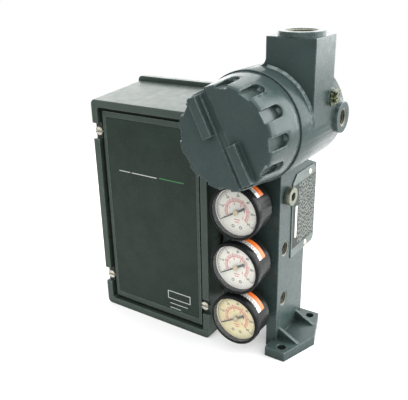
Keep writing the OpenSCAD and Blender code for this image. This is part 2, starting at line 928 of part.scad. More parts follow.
module relay_body() {
    color("#6d7476") difference() {
        union() {
            block([relay_x, wall_y - relay_d, relay_z], [relay_x + relay_w, wall_y, relay_z + relay_h]);
            block([relay_x - ear_w, wall_y - ear_t, relay_z],
                [relay_x + relay_w + ear_w, wall_y, relay_z + relay_h]);
        }
        rod_x(spool_y, spool_z, relay_x - over, relay_x + relay_w + over, spool_r + fit);
        for (x = relay_ear_xs()) rod_y(x, spool_z, wall_y - ear_t - over, wall_y + over,
            relay_screw_r + fit);
    }
}

module relay_spool() {
    x0 = relay_x - spool_out;
    len = relay_w + 2 * spool_out;
    lands = 4;
    pitch = (len - land_len) / (lands - 1);
    color(steel) {
        rod_x(spool_y, spool_z, x0, x0 + len, spool_r - spool_waist);
        for (i = [0 : lands - 1])
            rod_x(spool_y, spool_z, x0 + i * pitch, x0 + i * pitch + land_len, spool_r);
    }
}

module relay_screws() {
    seat = wall_y - ear_t;
    color(nickel) for (x = relay_ear_xs()) {
        rod_y(x, spool_z, seat, rear_y - 2 * blind_floor, relay_screw_r);
        rod_y(x, spool_z, seat - relay_head_t, seat, relay_head_r);
    }
}

// Manifold

module side_plate() {
    plate_yz(man_x1 - plate_root, plate_x) polygon([[man_y0, 0], [plate_y1, 0], [plate_y1, tail_z0],
        [tail_y1, tail_z0], [tail_y1, tail_z1], [plate_y1 - tail_step, plate_top], [man_y0, plate_top]]);
}

module foot() {
    root = plate_x - foot_root;
    flat = plate_x + foot_flat;
    linear_extrude(foot_t) difference() {
        polygon([[root, foot_y - foot_half], [flat, foot_y - foot_half],
            [plate_x + foot_reach, foot_y], [flat, foot_y + foot_half], [root, foot_y + foot_half]]);
        for (side = [-1, 1]) translate([foot_hole_x, foot_y + side * foot_span / 2]) circle(foot_hole_r);
    }
    for (side = [-1, 1]) plate_xz(foot_y + side * gusset_span / 2 - gusset_t / 2,
        foot_y + side * gusset_span / 2 + gusset_t / 2)
        polygon([[plate_x - over, foot_t - over], [plate_x + gusset_reach, foot_t - over],
            [plate_x + gusset_reach, foot_t], [plate_x, foot_t + gusset_rise],
            [plate_x - over, foot_t + gusset_rise]]);
}

module manifold() {
    color(paint) difference() {
        union() {
            block([man_x0, man_y0, block_z], [man_x1, base_y, block_top]);
            side_plate();
            foot();
        }
        for (n = [1 : 3]) {
            rod_y(gauge_x, gauge_z(n), man_y0 - over, man_y0 + stem_bite + blind_floor / 2, stem_r + fit);
            rod_x(port_y, gauge_z(n) + port_rise, plate_x - port_d, plate_x + over, port_r);
        }
        for (x = man_screw_xs, z = man_screw_zs)
            rod_y(x, z, base_y - man_screw_bite, base_y + over, man_screw_r + fit);
        for (y = bolt_ys) rod_z(bolt_x, y, block_top - bolt_bite, block_top + over, bolt_r + fit);
        for (p = drive_places()) rod_x(p[0], p[1], plate_x - drive_bite - blind_floor, plate_x + over,
            drive_r / 2 + fit);
    }
}

module manifold_gasket() {
    color(rubber) plate_xz(base_y, base_y + wing_gap) difference() {
        translate([man_x0, wing_z0]) square([wing_x1 - man_x0, wing_z1 - wing_z0]);
        for (x = man_screw_xs, z = man_screw_zs) translate([x, z]) circle(man_screw_r + fit);
    }
}

module manifold_screws() {
    seat = rear_y - man_head_t - man_head_in;
    color(nickel) for (x = man_screw_xs, z = man_screw_zs) difference() {
        union() {
            rod_y(x, z, base_y - man_screw_bite + blind_floor, seat, man_screw_r);
            rod_y(x, z, seat, seat + man_head_t, man_head_r);
        }
        hex_y(x, z, seat + man_hex_floor, seat + man_head_t + over, man_hex_r);
    }
}

module port_plug() {
    z = gauge_z(3) + port_rise;
    r = port_r - fit;
    color(nickel) difference() {
        union() {
            rod_x(port_y, z, plate_x - plug_in, plate_x, r);
            rod_x(port_y, z, plate_x, plate_x + plug_out, r + plug_rim);
        }
        translate([plate_x - plug_hex_in, port_y, z]) rotate([0, 90, 0])
            cylinder(h = plug_hex_in + plug_out + over, r = plug_hex_r, $fn = 6);
    }
}

function drive_places() = [[name_y1 - drive_top_in, name_z1 - drive_top_drop],
    [name_y1 - drive_low_in, name_z0 + drive_low_rise]];

module nameplate() {
    color("#7f8788") plate_yz(plate_x, plate_x + name_t) difference() {
        polygon([[name_y0, name_z0], [name_y1 - name_cut / 2, name_z0], [name_y1, name_z0 + name_cut / 2],
            [name_y1, name_z1 - name_cut], [name_y1 - name_cut, name_z1],
            [name_y0 + name_cut, name_z1], [name_y0, name_z1 - name_cut]]);
        for (p = drive_places()) translate(p) circle(drive_r / 2 + fit);
        for (n = [2, 3]) translate([port_y, gauge_z(n) + port_rise]) circle(name_port_r);
    }
}

module nameplate_screws() {
    seat = plate_x + name_t;
    color(nickel) for (p = drive_places()) {
        rod_x(p[0], p[1], plate_x - drive_bite, seat, drive_r / 2);
        rod_x(p[0], p[1], seat, seat + drive_head_t, drive_r + drive_head_out, drive_r);
    }
}

// Gauges, each at its own height z

module gauge_case(z) {
    color(rubber) difference() {
        union() {
            rod_y(gauge_x, z, gauge_y0, gauge_y0 + bezel_edge, bezel_r - bezel_edge, bezel_r);
            rod_y(gauge_x, z, gauge_y0 + bezel_edge, gauge_y0 + bezel_len, bezel_r);
            rod_y(gauge_x, z, gauge_y0 + bezel_len, gauge_y1, drum_r);
        }
        rod_y(gauge_x, z, gauge_y0 - over, gauge_y1 - gauge_back, gauge_hollow_r - lens_lip);
        rod_y(gauge_x, z, lens_y, gauge_y1 - gauge_back, gauge_hollow_r);
        rod_y(gauge_x, z, gauge_y0, gauge_y1 + over, stem_r + stem_collar + fit);
    }
}

module gauge_lens(z) {
    color("#dfe9ec", 0.35) rod_y(gauge_x, z, lens_y, lens_y + lens_t, gauge_hollow_r - fit);
}

module gauge_dial(z) {
    color("white") difference() {
        rod_y(gauge_x, z, dial_y, dial_y + dial_t, gauge_hollow_r - dial_edge);
        rod_y(gauge_x, z, dial_y - over, dial_y + dial_t + over, staff_r + clear);
    }
}

module gauge_pointer(z) {
    reach = gauge_hollow_r - pointer_short;
    color("#1f1b17") {
        plate_xz(pointer_y, pointer_y + pointer_t) translate([gauge_x, z]) rotate(pointer_zero) {
            polygon([[0, -pointer_half], [reach, -pointer_tip], [reach, pointer_tip], [0, pointer_half]]);
            polygon([[0, -pointer_half], [0, pointer_half], [-tail_len, tail_half],
                [-tail_len, -tail_half]]);
            circle(pointer_hub_r);
        }
        rod_y(gauge_x, z, pointer_y - pointer_cap_t, pointer_y, pointer_cap_r);
        rod_y(gauge_x, z, pointer_y, dial_y + dial_t + staff_bite, staff_r);
    }
}

module gauge_movement(z) {
    plate_y = dial_y + dial_t;
    back = gauge_y1 - gauge_back;
    tube_y = (plate_y + back) / 2;
    color(brass) difference() {
        union() {
            block([gauge_x - socket_half_w, plate_y, z - socket_half_h],
                [gauge_x + socket_half_w, back, z + socket_half_h]);
            block([gauge_x - link_half, tube_y - tube_r, z - movement_r - tube_r],
                [gauge_x + link_half, tube_y + tube_r, z]);
            translate([gauge_x, tube_y, z]) rotate([90, 0, 0]) rotate(-90)
                rotate_extrude(angle = 290) translate([movement_r, 0]) circle(tube_r, $fn = 24);
            rod_y(gauge_x, z, back, gauge_y1, stem_r + stem_collar);
            hex_y(gauge_x, z, gauge_y1, man_y0 - stem_hex_gap, stem_hex_r);
            rod_y(gauge_x, z, man_y0 - stem_hex_gap, man_y0 + stem_bite, stem_r);
        }
        rod_y(gauge_x, z, plate_y - over, plate_y + staff_hole, staff_r + fit);
        rod_y(gauge_x, z, plate_y + staff_hole + 2 * blind_floor, man_y0 + stem_bite + over, stem_bore_r);
    }
}

// Converter

module converter_housing() {
    fillet_z = conv_z + sqrt(conv_r * conv_r - pow(conv_x - tower_x0 + tower_fillet, 2));
    color(paint) difference() {
        union() {
            rod_y(conv_x, conv_z, joint_y, conv_back - conv_chamfer, conv_r);
            rod_y(conv_x, conv_z, conv_back - conv_chamfer, conv_back, conv_r, conv_r - conv_chamfer);
            rod_y(conv_x, conv_z, joint_y - neck_len, joint_y, neck_r);
            block([tower_x0, tower_y0, conv_z], [tower_x1, tower_y1, tower_top]);
            plate_xz(tower_y0, tower_y1) difference() {
                translate([tower_x0 - tower_fillet, conv_z + cavity_r + skin])
                    square([tower_fillet + over, fillet_z + tower_fillet - conv_z - cavity_r - skin]);
                translate([tower_x0 - tower_fillet, fillet_z + tower_fillet]) circle(tower_fillet);
            }
            rod_z(conduit_x, conduit_y, tower_top - over, tower_top + boss_h, boss_r);
            rod_x(ring_y, ring_z, conv_x + cavity_r + skin, ring_x, ring_r);
            block([saddle_x0, saddle_y0, block_top + seal_t], [saddle_x1, saddle_y1, conv_z - cavity_r / 2]);
            rod_x(ground_y, ground_z, conv_x + cavity_r - 2 * skin, tower_x1 + ground_pad_t, ground_pad_r);
        }
        rod_y(conv_x, conv_z, joint_y - neck_len - over, conv_back - conv_wall, cavity_r);
        rod_z(conduit_x, conduit_y, conv_z + cavity_r / 3, tower_top, conduit_r - conduit_step);
        rod_z(conduit_x, conduit_y, tower_top + boss_h - conduit_depth, tower_top + boss_h + over,
            conduit_r);
        rod_x(ring_y, ring_z, ring_x - ring_depth, ring_x + over, ring_hole_r);
        for (y = bolt_ys) {
            rod_z(bolt_x, y, block_top, bolt_seat_z + over, bolt_r + fit);
            rod_z(bolt_x, y, bolt_seat_z, conv_z, bolt_head_r + clear);
        }
        rod_x(ground_y, ground_z, tower_x1 - ground_bite - blind_floor / 2, tower_x1 + 2 * over,
            ground_r + fit);
    }
}

// One U shaped grip pocket, cut inwards from the cap's side
module grip_pocket() {
    translate([pocket_floor, 0, 0]) rotate([90, 0, 90]) linear_extrude(cap_r) {
        translate([-pocket_w / 2, -lug_h - over])
            square([pocket_w, pocket_len - pocket_w / 2 + lug_h + over]);
        translate([0, pocket_len - pocket_w / 2]) circle(pocket_w / 2);
    }
}

// Outline of one face lug, from beside the centre out to the rim
module face_lug() {
    intersection() {
        circle(cap_face_r - lug_edge);
        translate([lug_start, lug_off - lug_w / 2]) square([cap_face_r, lug_w]);
    }
}

module converter_cap() {
    color(paint) difference() {
        union() {
            rod_y(conv_x, conv_z, cap_y0 + cap_chamfer, cap_y1, cap_face_r, cap_r);
            rod_y(conv_x, conv_z, cap_y0, cap_y0 + cap_chamfer, cap_face_r - cap_chamfer, cap_face_r);
            plate_xz(cap_y0 - lug_h, cap_y0 + cap_chamfer) translate([conv_x, conv_z]) rotate(lug_turn)
                for (turn = [0, 180]) rotate(turn) face_lug();
        }
        plate_xz(cap_y0 - over, cap_y0 + bar_slot_d) translate([conv_x, conv_z]) rotate(lug_turn)
            square([2 * cap_r, bar_slot_w], center = true);
        rod_y(conv_x, conv_z, cap_y1 - seal_ring_t, cap_y1 + over, seal_ring_r + fit);
        rod_y(conv_x, conv_z, joint_y - neck_len - over, cap_y1 + over, cap_bore_r);
        rod_y(conv_x, conv_z, cap_y0 + cap_wall, cap_y1 + over, cap_hollow_r);
        translate([conv_x, cap_y0, conv_z]) rotate([-90, 0, 0])
            for (i = [0 : pockets - 1]) rotate(pocket_first + i * 360 / pockets) grip_pocket();
    }
}

module cap_seal() {
    color(rubber) difference() {
        rod_y(conv_x, conv_z, cap_y1 - seal_ring_t, cap_y1 + cap_gap / 2, seal_ring_r);
        rod_y(conv_x, conv_z, cap_y1 - seal_ring_t - over, joint_y + over, cap_bore_r);
    }
}

module converter_seal() {
    color(rubber) difference() {
        block([saddle_x0, saddle_y0, block_top], [saddle_x1, saddle_y1, block_top + seal_t]);
        for (y = bolt_ys) rod_z(bolt_x, y, block_top - over, block_top + 2 * seal_t, bolt_r + fit);
    }
}

module converter_bolts() {
    color(nickel) for (y = bolt_ys) difference() {
        union() {
            rod_z(bolt_x, y, block_top - bolt_bite + blind_floor, bolt_seat_z, bolt_r);
            rod_z(bolt_x, y, bolt_seat_z, bolt_seat_z + bolt_head_t, bolt_head_r);
        }
        translate([bolt_x, y, bolt_seat_z + bolt_hex_floor])
            cylinder(h = bolt_head_t, r = bolt_hex_r, $fn = 6);
    }
}

module coil_module() {
    color("#2c3033") rod_y(conv_x, conv_z, board_y1, conv_back - conv_wall, coil_r);
}

module terminal_board() {
    color("#2f5a3c") difference() {
        rod_y(conv_x, conv_z, board_y0, board_y1, cavity_r - clear);
        for (i = [-1 : 1]) rod_y(conv_x + i * terminal_span, conv_z, board_y0 - over,
            board_y1 - terminal_floor, terminal_r + fit);
        for (y = bolt_ys) rod_z(bolt_x, y, block_top, bolt_seat_z + bolt_head_t + skin, bolt_head_r + skin);
    }
}

module terminal_screws() {
    head_r = 2 * terminal_r;
    head_y = board_y0 - terminal_head_t;
    color(brass) for (i = [-1 : 1]) translate([conv_x + i * terminal_span, 0, conv_z]) difference() {
        union() {
            rod_y(0, 0, board_y0, board_y1 - terminal_floor, terminal_r);
            rod_y(0, 0, head_y, board_y0, head_r);
        }
        block([-head_r - over, head_y - over, -slot_w / 2], [head_r + over, head_y + slot_d, slot_w / 2]);
    }
}

module ground_screw() {
    seat = tower_x1 + ground_pad_t + clamp_t;
    head_x = seat + ground_head_t;
    color(nickel) translate([0, ground_y, ground_z]) difference() {
        union() {
            rod_x(0, 0, tower_x1 - ground_bite, seat, ground_r);
            rod_x(0, 0, seat, head_x, ground_head_r);
        }
        block([head_x - slot_d, -ground_head_r - over, -slot_w / 2],
            [head_x + over, ground_head_r + over, slot_w / 2]);
    }
}

module ground_clamp() {
    seat = tower_x1 + ground_pad_t;
    color(brass) translate([seat, ground_y, ground_z]) difference() {
        union() {
            block([0, -clamp_half, -clamp_half], [clamp_t, clamp_half, clamp_half]);
            block([0, -clamp_half, clamp_half - clamp_lip_t], [clamp_t + clamp_lip, clamp_half, clamp_half]);
        }
        rod_x(0, 0, -over, clamp_t + over, ground_r + fit);
    }
}

in_frame() base_casting();
in_frame() front_cover();
in_frame() cover_gasket();
in_frame() cover_panel();
in_frame() cover_screws();
in_frame() vent_plug();
in_frame() shaft_bushing();
in_frame() feedback_shaft();
in_frame() cam();
in_frame() cam_nut();
in_frame() feedback_lever();
in_frame() lever_pivot();
in_frame() follower_roller();
in_frame() roller_pin();
in_frame() range_spring();
in_frame() summing_beam();
in_frame() beam_pivot();
in_frame() flapper();
in_frame() nozzle();
in_frame() input_bellows();
in_frame() zero_knob();
in_frame() relay_body();
in_frame() relay_spool();
in_frame() relay_screws();
in_frame() manifold();
in_frame() manifold_gasket();
in_frame() manifold_screws();
in_frame() port_plug();
in_frame() nameplate();
in_frame() nameplate_screws();
in_frame() gauge_case(gauge_z(1));  // gauge_case_1
in_frame() gauge_dial(gauge_z(1));  // gauge_dial_1
in_frame() gauge_lens(gauge_z(1));  // gauge_lens_1
in_frame() gauge_pointer(gauge_z(1));  // gauge_pointer_1
in_frame() gauge_movement(gauge_z(1));  // gauge_movement_1
in_frame() gauge_case(gauge_z(2));  // gauge_case_2
in_frame() gauge_dial(gauge_z(2));  // gauge_dial_2
in_frame() gauge_lens(gauge_z(2));  // gauge_lens_2
in_frame() gauge_pointer(gauge_z(2));  // gauge_pointer_2
in_frame() gauge_movement(gauge_z(2));  // gauge_movement_2
in_frame() gauge_case(gauge_z(3));  // gauge_case_3
in_frame() gauge_dial(gauge_z(3));  // gauge_dial_3
in_frame() gauge_lens(gauge_z(3));  // gauge_lens_3
in_frame() gauge_pointer(gauge_z(3));  // gauge_pointer_3
in_frame() gauge_movement(gauge_z(3));  // gauge_movement_3
in_frame() converter_housing();
in_frame() converter_cap();
in_frame() cap_seal();
in_frame() converter_seal();
in_frame() converter_bolts();
in_frame() coil_module();
in_frame() terminal_board();
in_frame() terminal_screws();
in_frame() ground_screw();
in_frame() ground_clamp();
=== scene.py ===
"""Looks of the valve positioner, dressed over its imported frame. Lengths are in metres."""

import json
import math
import random

import bmesh
import bpy
from mathutils import Matrix, Vector


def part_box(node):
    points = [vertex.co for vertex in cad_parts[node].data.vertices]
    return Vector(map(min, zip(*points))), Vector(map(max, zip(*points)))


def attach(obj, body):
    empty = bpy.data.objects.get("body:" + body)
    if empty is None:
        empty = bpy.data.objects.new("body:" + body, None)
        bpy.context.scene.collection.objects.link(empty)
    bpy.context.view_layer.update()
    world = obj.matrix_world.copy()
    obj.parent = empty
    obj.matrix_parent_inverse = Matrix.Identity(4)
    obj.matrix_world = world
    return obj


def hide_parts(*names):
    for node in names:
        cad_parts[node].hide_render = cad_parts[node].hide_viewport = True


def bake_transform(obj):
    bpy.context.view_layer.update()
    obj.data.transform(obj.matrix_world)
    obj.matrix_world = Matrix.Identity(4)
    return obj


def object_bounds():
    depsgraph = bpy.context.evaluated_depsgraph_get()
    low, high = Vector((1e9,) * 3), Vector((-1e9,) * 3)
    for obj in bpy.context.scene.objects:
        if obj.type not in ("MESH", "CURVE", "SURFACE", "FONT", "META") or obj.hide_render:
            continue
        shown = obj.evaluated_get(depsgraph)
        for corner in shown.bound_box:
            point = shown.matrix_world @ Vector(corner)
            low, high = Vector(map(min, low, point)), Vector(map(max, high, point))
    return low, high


MM = 0.001

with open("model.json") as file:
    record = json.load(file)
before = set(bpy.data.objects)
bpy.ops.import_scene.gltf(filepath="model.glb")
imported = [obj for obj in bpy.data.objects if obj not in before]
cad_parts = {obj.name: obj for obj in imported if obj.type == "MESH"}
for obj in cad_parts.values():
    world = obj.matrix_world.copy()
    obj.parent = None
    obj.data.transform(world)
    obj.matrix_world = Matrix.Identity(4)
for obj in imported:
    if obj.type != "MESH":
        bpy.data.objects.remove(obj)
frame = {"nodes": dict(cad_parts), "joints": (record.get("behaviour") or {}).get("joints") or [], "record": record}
nodes = frame["nodes"]
cad_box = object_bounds()

# Camera of the photograph
IMAGE_W = 408
FOCAL_PX = 586.2
CAMERA_AT = Vector((0.27625, -0.40894, 0.22060))
CAMERA_YAW = 34.12
CAMERA_TILT = 21.99
CAMERA_ROLL = -1.19
SENSOR_W = 36.0
CLIP_START = 0.01

# Soft studio light: place, aim, side and power of each lamp
LAMPS = {
    "lamp_back": ((-0.75, 1.10, 0.62), (0.04, -0.04, 0.05), 2.0, 26.0),
    "lamp_right": ((1.00, 0.62, 0.40), (0.06, -0.04, 0.05), 2.0, 58.0),
    "lamp_top": ((0.15, -0.50, 1.15), (0.04, -0.04, 0.05), 1.4, 12.0),
    "lamp_front": ((0.60, -1.15, 0.75), (0.04, -0.04, 0.05), 1.7, 12.0),
}
SKY_STRENGTH = 0.30

# The floor glows white to the eye far off, and keeps the shadow near the object
FLOOR_GREY = 0.78
FLOOR_GLOW = 0.28
FLOOR_NEAR = 0.25
FLOOR_FAR = 0.75
FLOOR_SIDE = 6.0

# Width of the softened edges, by node
EDGE_WIDTHS = {
    "front_cover": 0.5 * MM,
    "base_casting": 0.4 * MM,
    "manifold": 0.4 * MM,
    "converter_housing": 0.4 * MM,
    "converter_cap": 0.3 * MM,
    "gauge_case_1": 0.4 * MM,
    "gauge_case_2": 0.4 * MM,
    "gauge_case_3": 0.4 * MM,
}
SMALL_EDGE = 0.15 * MM
PLAIN_NODES = ("range_spring", "gauge_lens_1", "gauge_lens_2", "gauge_lens_3", "zero_knob")
EDGE_ANGLE = math.radians(32)
EDGE_SEGMENTS = 2
WELD_REACH = 0.001 * MM


# Node materials

# Sockets of a colour mix node
MIX_FIRST, MIX_SECOND, MIX_RESULT = 6, 7, 2
# Rays that the edge, corner and rounding nodes cast
NODE_RAYS = 6


class Paint:
    """A node material under construction, with the few node patterns that the finishes share."""

    def __init__(self, name):
        self.material = bpy.data.materials.new(name)
        self.material.use_nodes = True
        self.tree = self.material.node_tree
        self.bsdf = self.tree.nodes["Principled BSDF"]
        self.place = self.add("ShaderNodeTexCoord").outputs["Object"]

    def add(self, kind):
        return self.tree.nodes.new(kind)

    def link(self, source, target):
        self.tree.links.new(source, target)

    def set(self, **values):
        """Sets sockets of the shader, named in lower case with underscores."""
        for name, value in values.items():
            self.bsdf.inputs[name.replace("_", " ").title().replace("Ior", "IOR")].default_value = value

    def noise(self, grain, detail, stretch=(1, 1, 1)):
        """Noise whose blotches are about grain metres wide."""
        mapping = self.add("ShaderNodeMapping")
        mapping.inputs["Scale"].default_value = stretch
        self.link(self.place, mapping.inputs["Vector"])
        node = self.add("ShaderNodeTexNoise")
        node.inputs["Scale"].default_value = 1.0 / grain
        node.inputs["Detail"].default_value = detail
        self.link(mapping.outputs["Vector"], node.inputs["Vector"])
        return node.outputs["Fac"]

    def ramp(self, factor, stops):
        """A colour between two stops of a position and a colour."""
        node = self.add("ShaderNodeValToRGB")
        for element, (position, colour) in zip(node.color_ramp.elements, stops):
            element.position = position
            element.color = (*colour, 1)
        self.link(factor, node.inputs["Fac"])
        return node.outputs["Color"]

    def mottle(self, colour, grain, detail, dark, light, start=0.3, stop=0.7):
        """A colour that goes from dark to light times itself, in blotches about grain metres wide."""
        stops = [(start, shade(colour, dark)), (stop, shade(colour, light))]
        return self.ramp(self.noise(grain, detail), stops)

    def spread(self, factor, low, high, start=0.3, stop=0.7):
        """A value that goes from low to high as the factor goes from start to stop."""
        node = self.add("ShaderNodeMapRange")
        node.inputs["From Min"].default_value = start
        node.inputs["From Max"].default_value = stop
        node.inputs["To Min"].default_value = low
        node.inputs["To Max"].default_value = high
        self.link(factor, node.inputs["Value"])
        return node.outputs["Result"]

    def mix(self, factor, first, colour):
        """The first colour, turning into a plain colour where the factor is 1."""
        node = self.add("ShaderNodeMix")
        node.data_type = "RGBA"
        self.link(factor, node.inputs["Factor"])
        self.link(first, node.inputs[MIX_FIRST])
        node.inputs[MIX_SECOND].default_value = (*colour, 1)
        return node.outputs[MIX_RESULT]

    def times(self, first, second):
        node = self.add("ShaderNodeMath")
        node.operation = "MULTIPLY"
        self.link(first, node.inputs[0])
        self.link(second, node.inputs[1])
        return node.outputs[0]

    def edges(self, width):
        """Is 1 along outer edges and 0 on open faces."""
        node = self.add("ShaderNodeAmbientOcclusion")
        node.inside = True
        node.only_local = True
        node.samples = NODE_RAYS
        node.inputs["Distance"].default_value = width
        return self.spread(node.outputs["AO"], low=1.0, high=0.0, start=0.55, stop=0.85)

    def painted_shade_mask(self, reach, most):
        """Painted shade: rises to most in corners and gaps, and is 0 on open faces."""
        node = self.add("ShaderNodeAmbientOcclusion")
        node.samples = NODE_RAYS
        node.inputs["Distance"].default_value = reach
        return self.spread(node.outputs["AO"], low=most, high=0.0, start=0.30, stop=0.85)

    def round_normal(self, radius):
        """Normals that blend across edges within a radius."""
        node = self.add("ShaderNodeBevel")
        node.samples = NODE_RAYS
        node.inputs["Radius"].default_value = radius
        return node.outputs["Normal"]

    def bump(self, height, depth, strength, normal=None):
        node = self.add("ShaderNodeBump")
        if normal:
            self.link(normal, node.inputs["Normal"])
        node.inputs["Strength"].default_value = strength
        node.inputs["Distance"].default_value = depth
        self.link(height, node.inputs["Height"])
        self.link(node.outputs["Normal"], self.bsdf.inputs["Normal"])

    def colour(self, output):
        self.link(output, self.bsdf.inputs["Base Color"])

    def rough(self, grain, detail, low, high):
        """Sets a roughness that varies in blotches about grain metres wide."""
        self.link(self.spread(self.noise(grain, detail), low, high), self.bsdf.inputs["Roughness"])


def shade(colour, factor):
    return tuple(channel * factor for channel in colour)


def enamel(name, colour, edge_wear_and_highlight, sheen, rough=(0.22, 0.34), shade_in_corners=(12 * MM, 0.8)):
    """Semi gloss enamel on a casting: soft blotches, painted shade in corners, orange peel, bright edges partly
    worn and partly a painted highlight.
    """
    m = Paint(name)
    blotches = m.mottle(colour, grain=22 * MM, detail=5, dark=0.88, light=1.12, start=0.32, stop=0.68)
    # Lighter along every outer edge, more in patches: partly worn paint and partly a painted highlight
    patches = m.spread(m.noise(grain=3 * MM, detail=4), low=0.2, high=0.8, start=0.40, stop=0.65)
    worn_lit_edges = m.times(m.edges(width=1.1 * MM), patches)
    # Painted shade: the colour darkens to near black in corners, gaps and next to other parts, within the reach
    reach, most = shade_in_corners
    with_painted_shade = m.mix(m.painted_shade_mask(reach, most), blotches, SHADE_NEAR_BLACK)
    m.colour(m.mix(worn_lit_edges, with_painted_shade, edge_wear_and_highlight))
    m.set(specular_tint=sheen, specular_ior_level=0.25)
    m.rough(grain=7 * MM, detail=4, low=rough[0], high=rough[1])
    peel = m.noise(grain=1.1 * MM, detail=2)
    m.bump(peel, depth=0.03 * MM, strength=0.4, normal=m.round_normal(radius=0.7 * MM))
    return m.material


def moulded(name, colour, rough):
    """Moulded plastic or rubber with a fine grain."""
    m = Paint(name)
    m.colour(m.mottle(colour, grain=9 * MM, detail=4, dark=0.85, light=1.15))
    m.rough(grain=4 * MM, detail=3, low=rough - 0.06, high=rough + 0.06)
    fine = m.noise(grain=0.6 * MM, detail=2)
    m.bump(fine, depth=0.04 * MM, strength=0.5, normal=m.round_normal(radius=0.4 * MM))
    return m.material


def black_enamel(name, colour):
    """Smooth black enamel, dull from handling."""
    m = Paint(name)
    m.colour(m.mottle(colour, grain=12 * MM, detail=4, dark=0.8, light=1.3))
    m.rough(grain=10 * MM, detail=4, low=0.24, high=0.36)
    m.set(specular_ior_level=0.10)
    waves = m.noise(grain=2.5 * MM, detail=2)
    m.bump(waves, depth=0.01 * MM, strength=0.3, normal=m.round_normal(radius=0.5 * MM))
    return m.material


def bare_metal(name, colour, rough, stretch=(1, 1, 1), dark_edge=None):
    """Machined or plated metal with tarnish and fine tool marks, and dark edges where a width is given."""
    m = Paint(name)
    m.set(metallic=1.0)
    metal_tone = m.mottle(colour, grain=5 * MM, detail=5, dark=0.72, light=1.0, start=0.28, stop=0.62)
    # Darker brown along the outer edges where a width is given
    if dark_edge:
        metal_tone = m.mix(m.edges(dark_edge), metal_tone, EDGE_BROWN)
    m.colour(metal_tone)
    m.rough(grain=2.5 * MM, detail=4, low=rough - 0.07, high=rough + 0.1)
    marks = m.noise(grain=0.5 * MM, detail=2, stretch=stretch)
    m.bump(marks, depth=0.02 * MM, strength=0.5)
    return m.material


def corroded(name, dark, light, rough):
    """Old brass with rust and green crust in small patches."""
    m = Paint(name)
    m.set(metallic=0.4)
    patches = m.noise(grain=1.5 * MM, detail=4)
    m.colour(m.ramp(patches, [(0.44, dark), (0.68, light)]))
    m.rough(grain=2 * MM, detail=3, low=rough - 0.1, high=rough + 0.1)
    m.bump(patches, depth=0.15 * MM, strength=0.6)
    return m.material


def cut_thread(name, colour, rough):
    """Dull cut metal, with painted shade in the roots of a thread."""
    m = Paint(name)
    cut = m.mottle(colour, grain=3 * MM, detail=3, dark=0.55, light=1.0, start=0.35, stop=0.65)
    # Painted shade in the roots of the thread
    m.colour(m.mix(m.painted_shade_mask(reach=1.8 * MM, most=0.9), cut, SHADE_NEAR_BLACK))
    m.rough(grain=2 * MM, detail=3, low=rough - 0.08, high=rough + 0.08)
    m.bump(m.noise(grain=0.5 * MM, detail=2), depth=0.03 * MM, strength=0.5)
    return m.material


def printed(name, colour, rough=0.5, gloss=0.5):
    """Ink or film on a surface, slightly uneven."""
    m = Paint(name)
    m.set(specular_ior_level=gloss)
    m.colour(m.mottle(colour, grain=2.2 * MM, detail=3, dark=0.86, light=1.0))
    m.rough(grain=3 * MM, detail=2, low=rough - 0.05, high=rough + 0.05)
    return m.material


def film(name, colour, dust):
    """Dark label film, half gloss, with a fine weave of dust."""
    m = Paint(name)
    base = m.mottle(colour, grain=14 * MM, detail=4, dark=0.8, light=1.25)
    specks = m.spread(m.noise(grain=0.8 * MM, detail=3), low=0.0, high=0.5, start=0.58, stop=0.75)
    m.colour(m.mix(m.times(specks, m.noise(grain=18 * MM, detail=3)), base, dust))
    m.set(specular_ior_level=0.22)
    m.rough(grain=9 * MM, detail=4, low=0.30, high=0.44)
    m.bump(m.noise(grain=0.5 * MM, detail=2), depth=0.015 * MM, strength=0.4)
    return m.material


def dial_face(name, colour, stain, amount):
    """White dial enamel with age stains."""
    m = Paint(name)
    blotch = m.spread(m.noise(grain=11 * MM, detail=4), low=0.0, high=amount, start=0.35, stop=0.75)
    base = m.mottle(colour, grain=1.5 * MM, detail=2, dark=0.96, light=1.0)
    m.colour(m.mix(blotch, base, stain))
    m.rough(grain=5 * MM, detail=2, low=0.4, high=0.5)
    return m.material


def clear_lens():
    """Thin clear plastic with faint smears."""
    m = Paint("clear_lens")
    m.colour(m.ramp(m.noise(grain=8 * MM, detail=3), [(0.3, LENS_SMEAR), (0.7, LENS_CLEAR)]))
    m.rough(grain=6 * MM, detail=4, low=0.03, high=0.12)
    m.set(alpha=0.06)
    return m.material


SLATE = (0.037, 0.057, 0.054)
# Lighter tone of outer edges, partly worn paint and partly a painted highlight
SLATE_EDGE_WEAR_AND_HIGHLIGHT = (0.22, 0.27, 0.27)
# Near black that the painted shade in corners and in the roots of threads goes to
SHADE_NEAR_BLACK = (0.007, 0.010, 0.009)
EDGE_BROWN = (0.045, 0.035, 0.018)
SLATE_SHEEN = (0.85, 0.98, 1.0, 1)
COVER_GREY = (0.049, 0.067, 0.056)
COVER_SHEEN = (0.86, 0.98, 0.92, 1)
LABEL_BLACK = (0.010, 0.021, 0.014)
LABEL_DUST = (0.08, 0.11, 0.09)
LENS_SMEAR = (0.86, 0.90, 0.90)
LENS_CLEAR = (0.95, 0.97, 0.97)
NICKEL = (0.64, 0.62, 0.53)

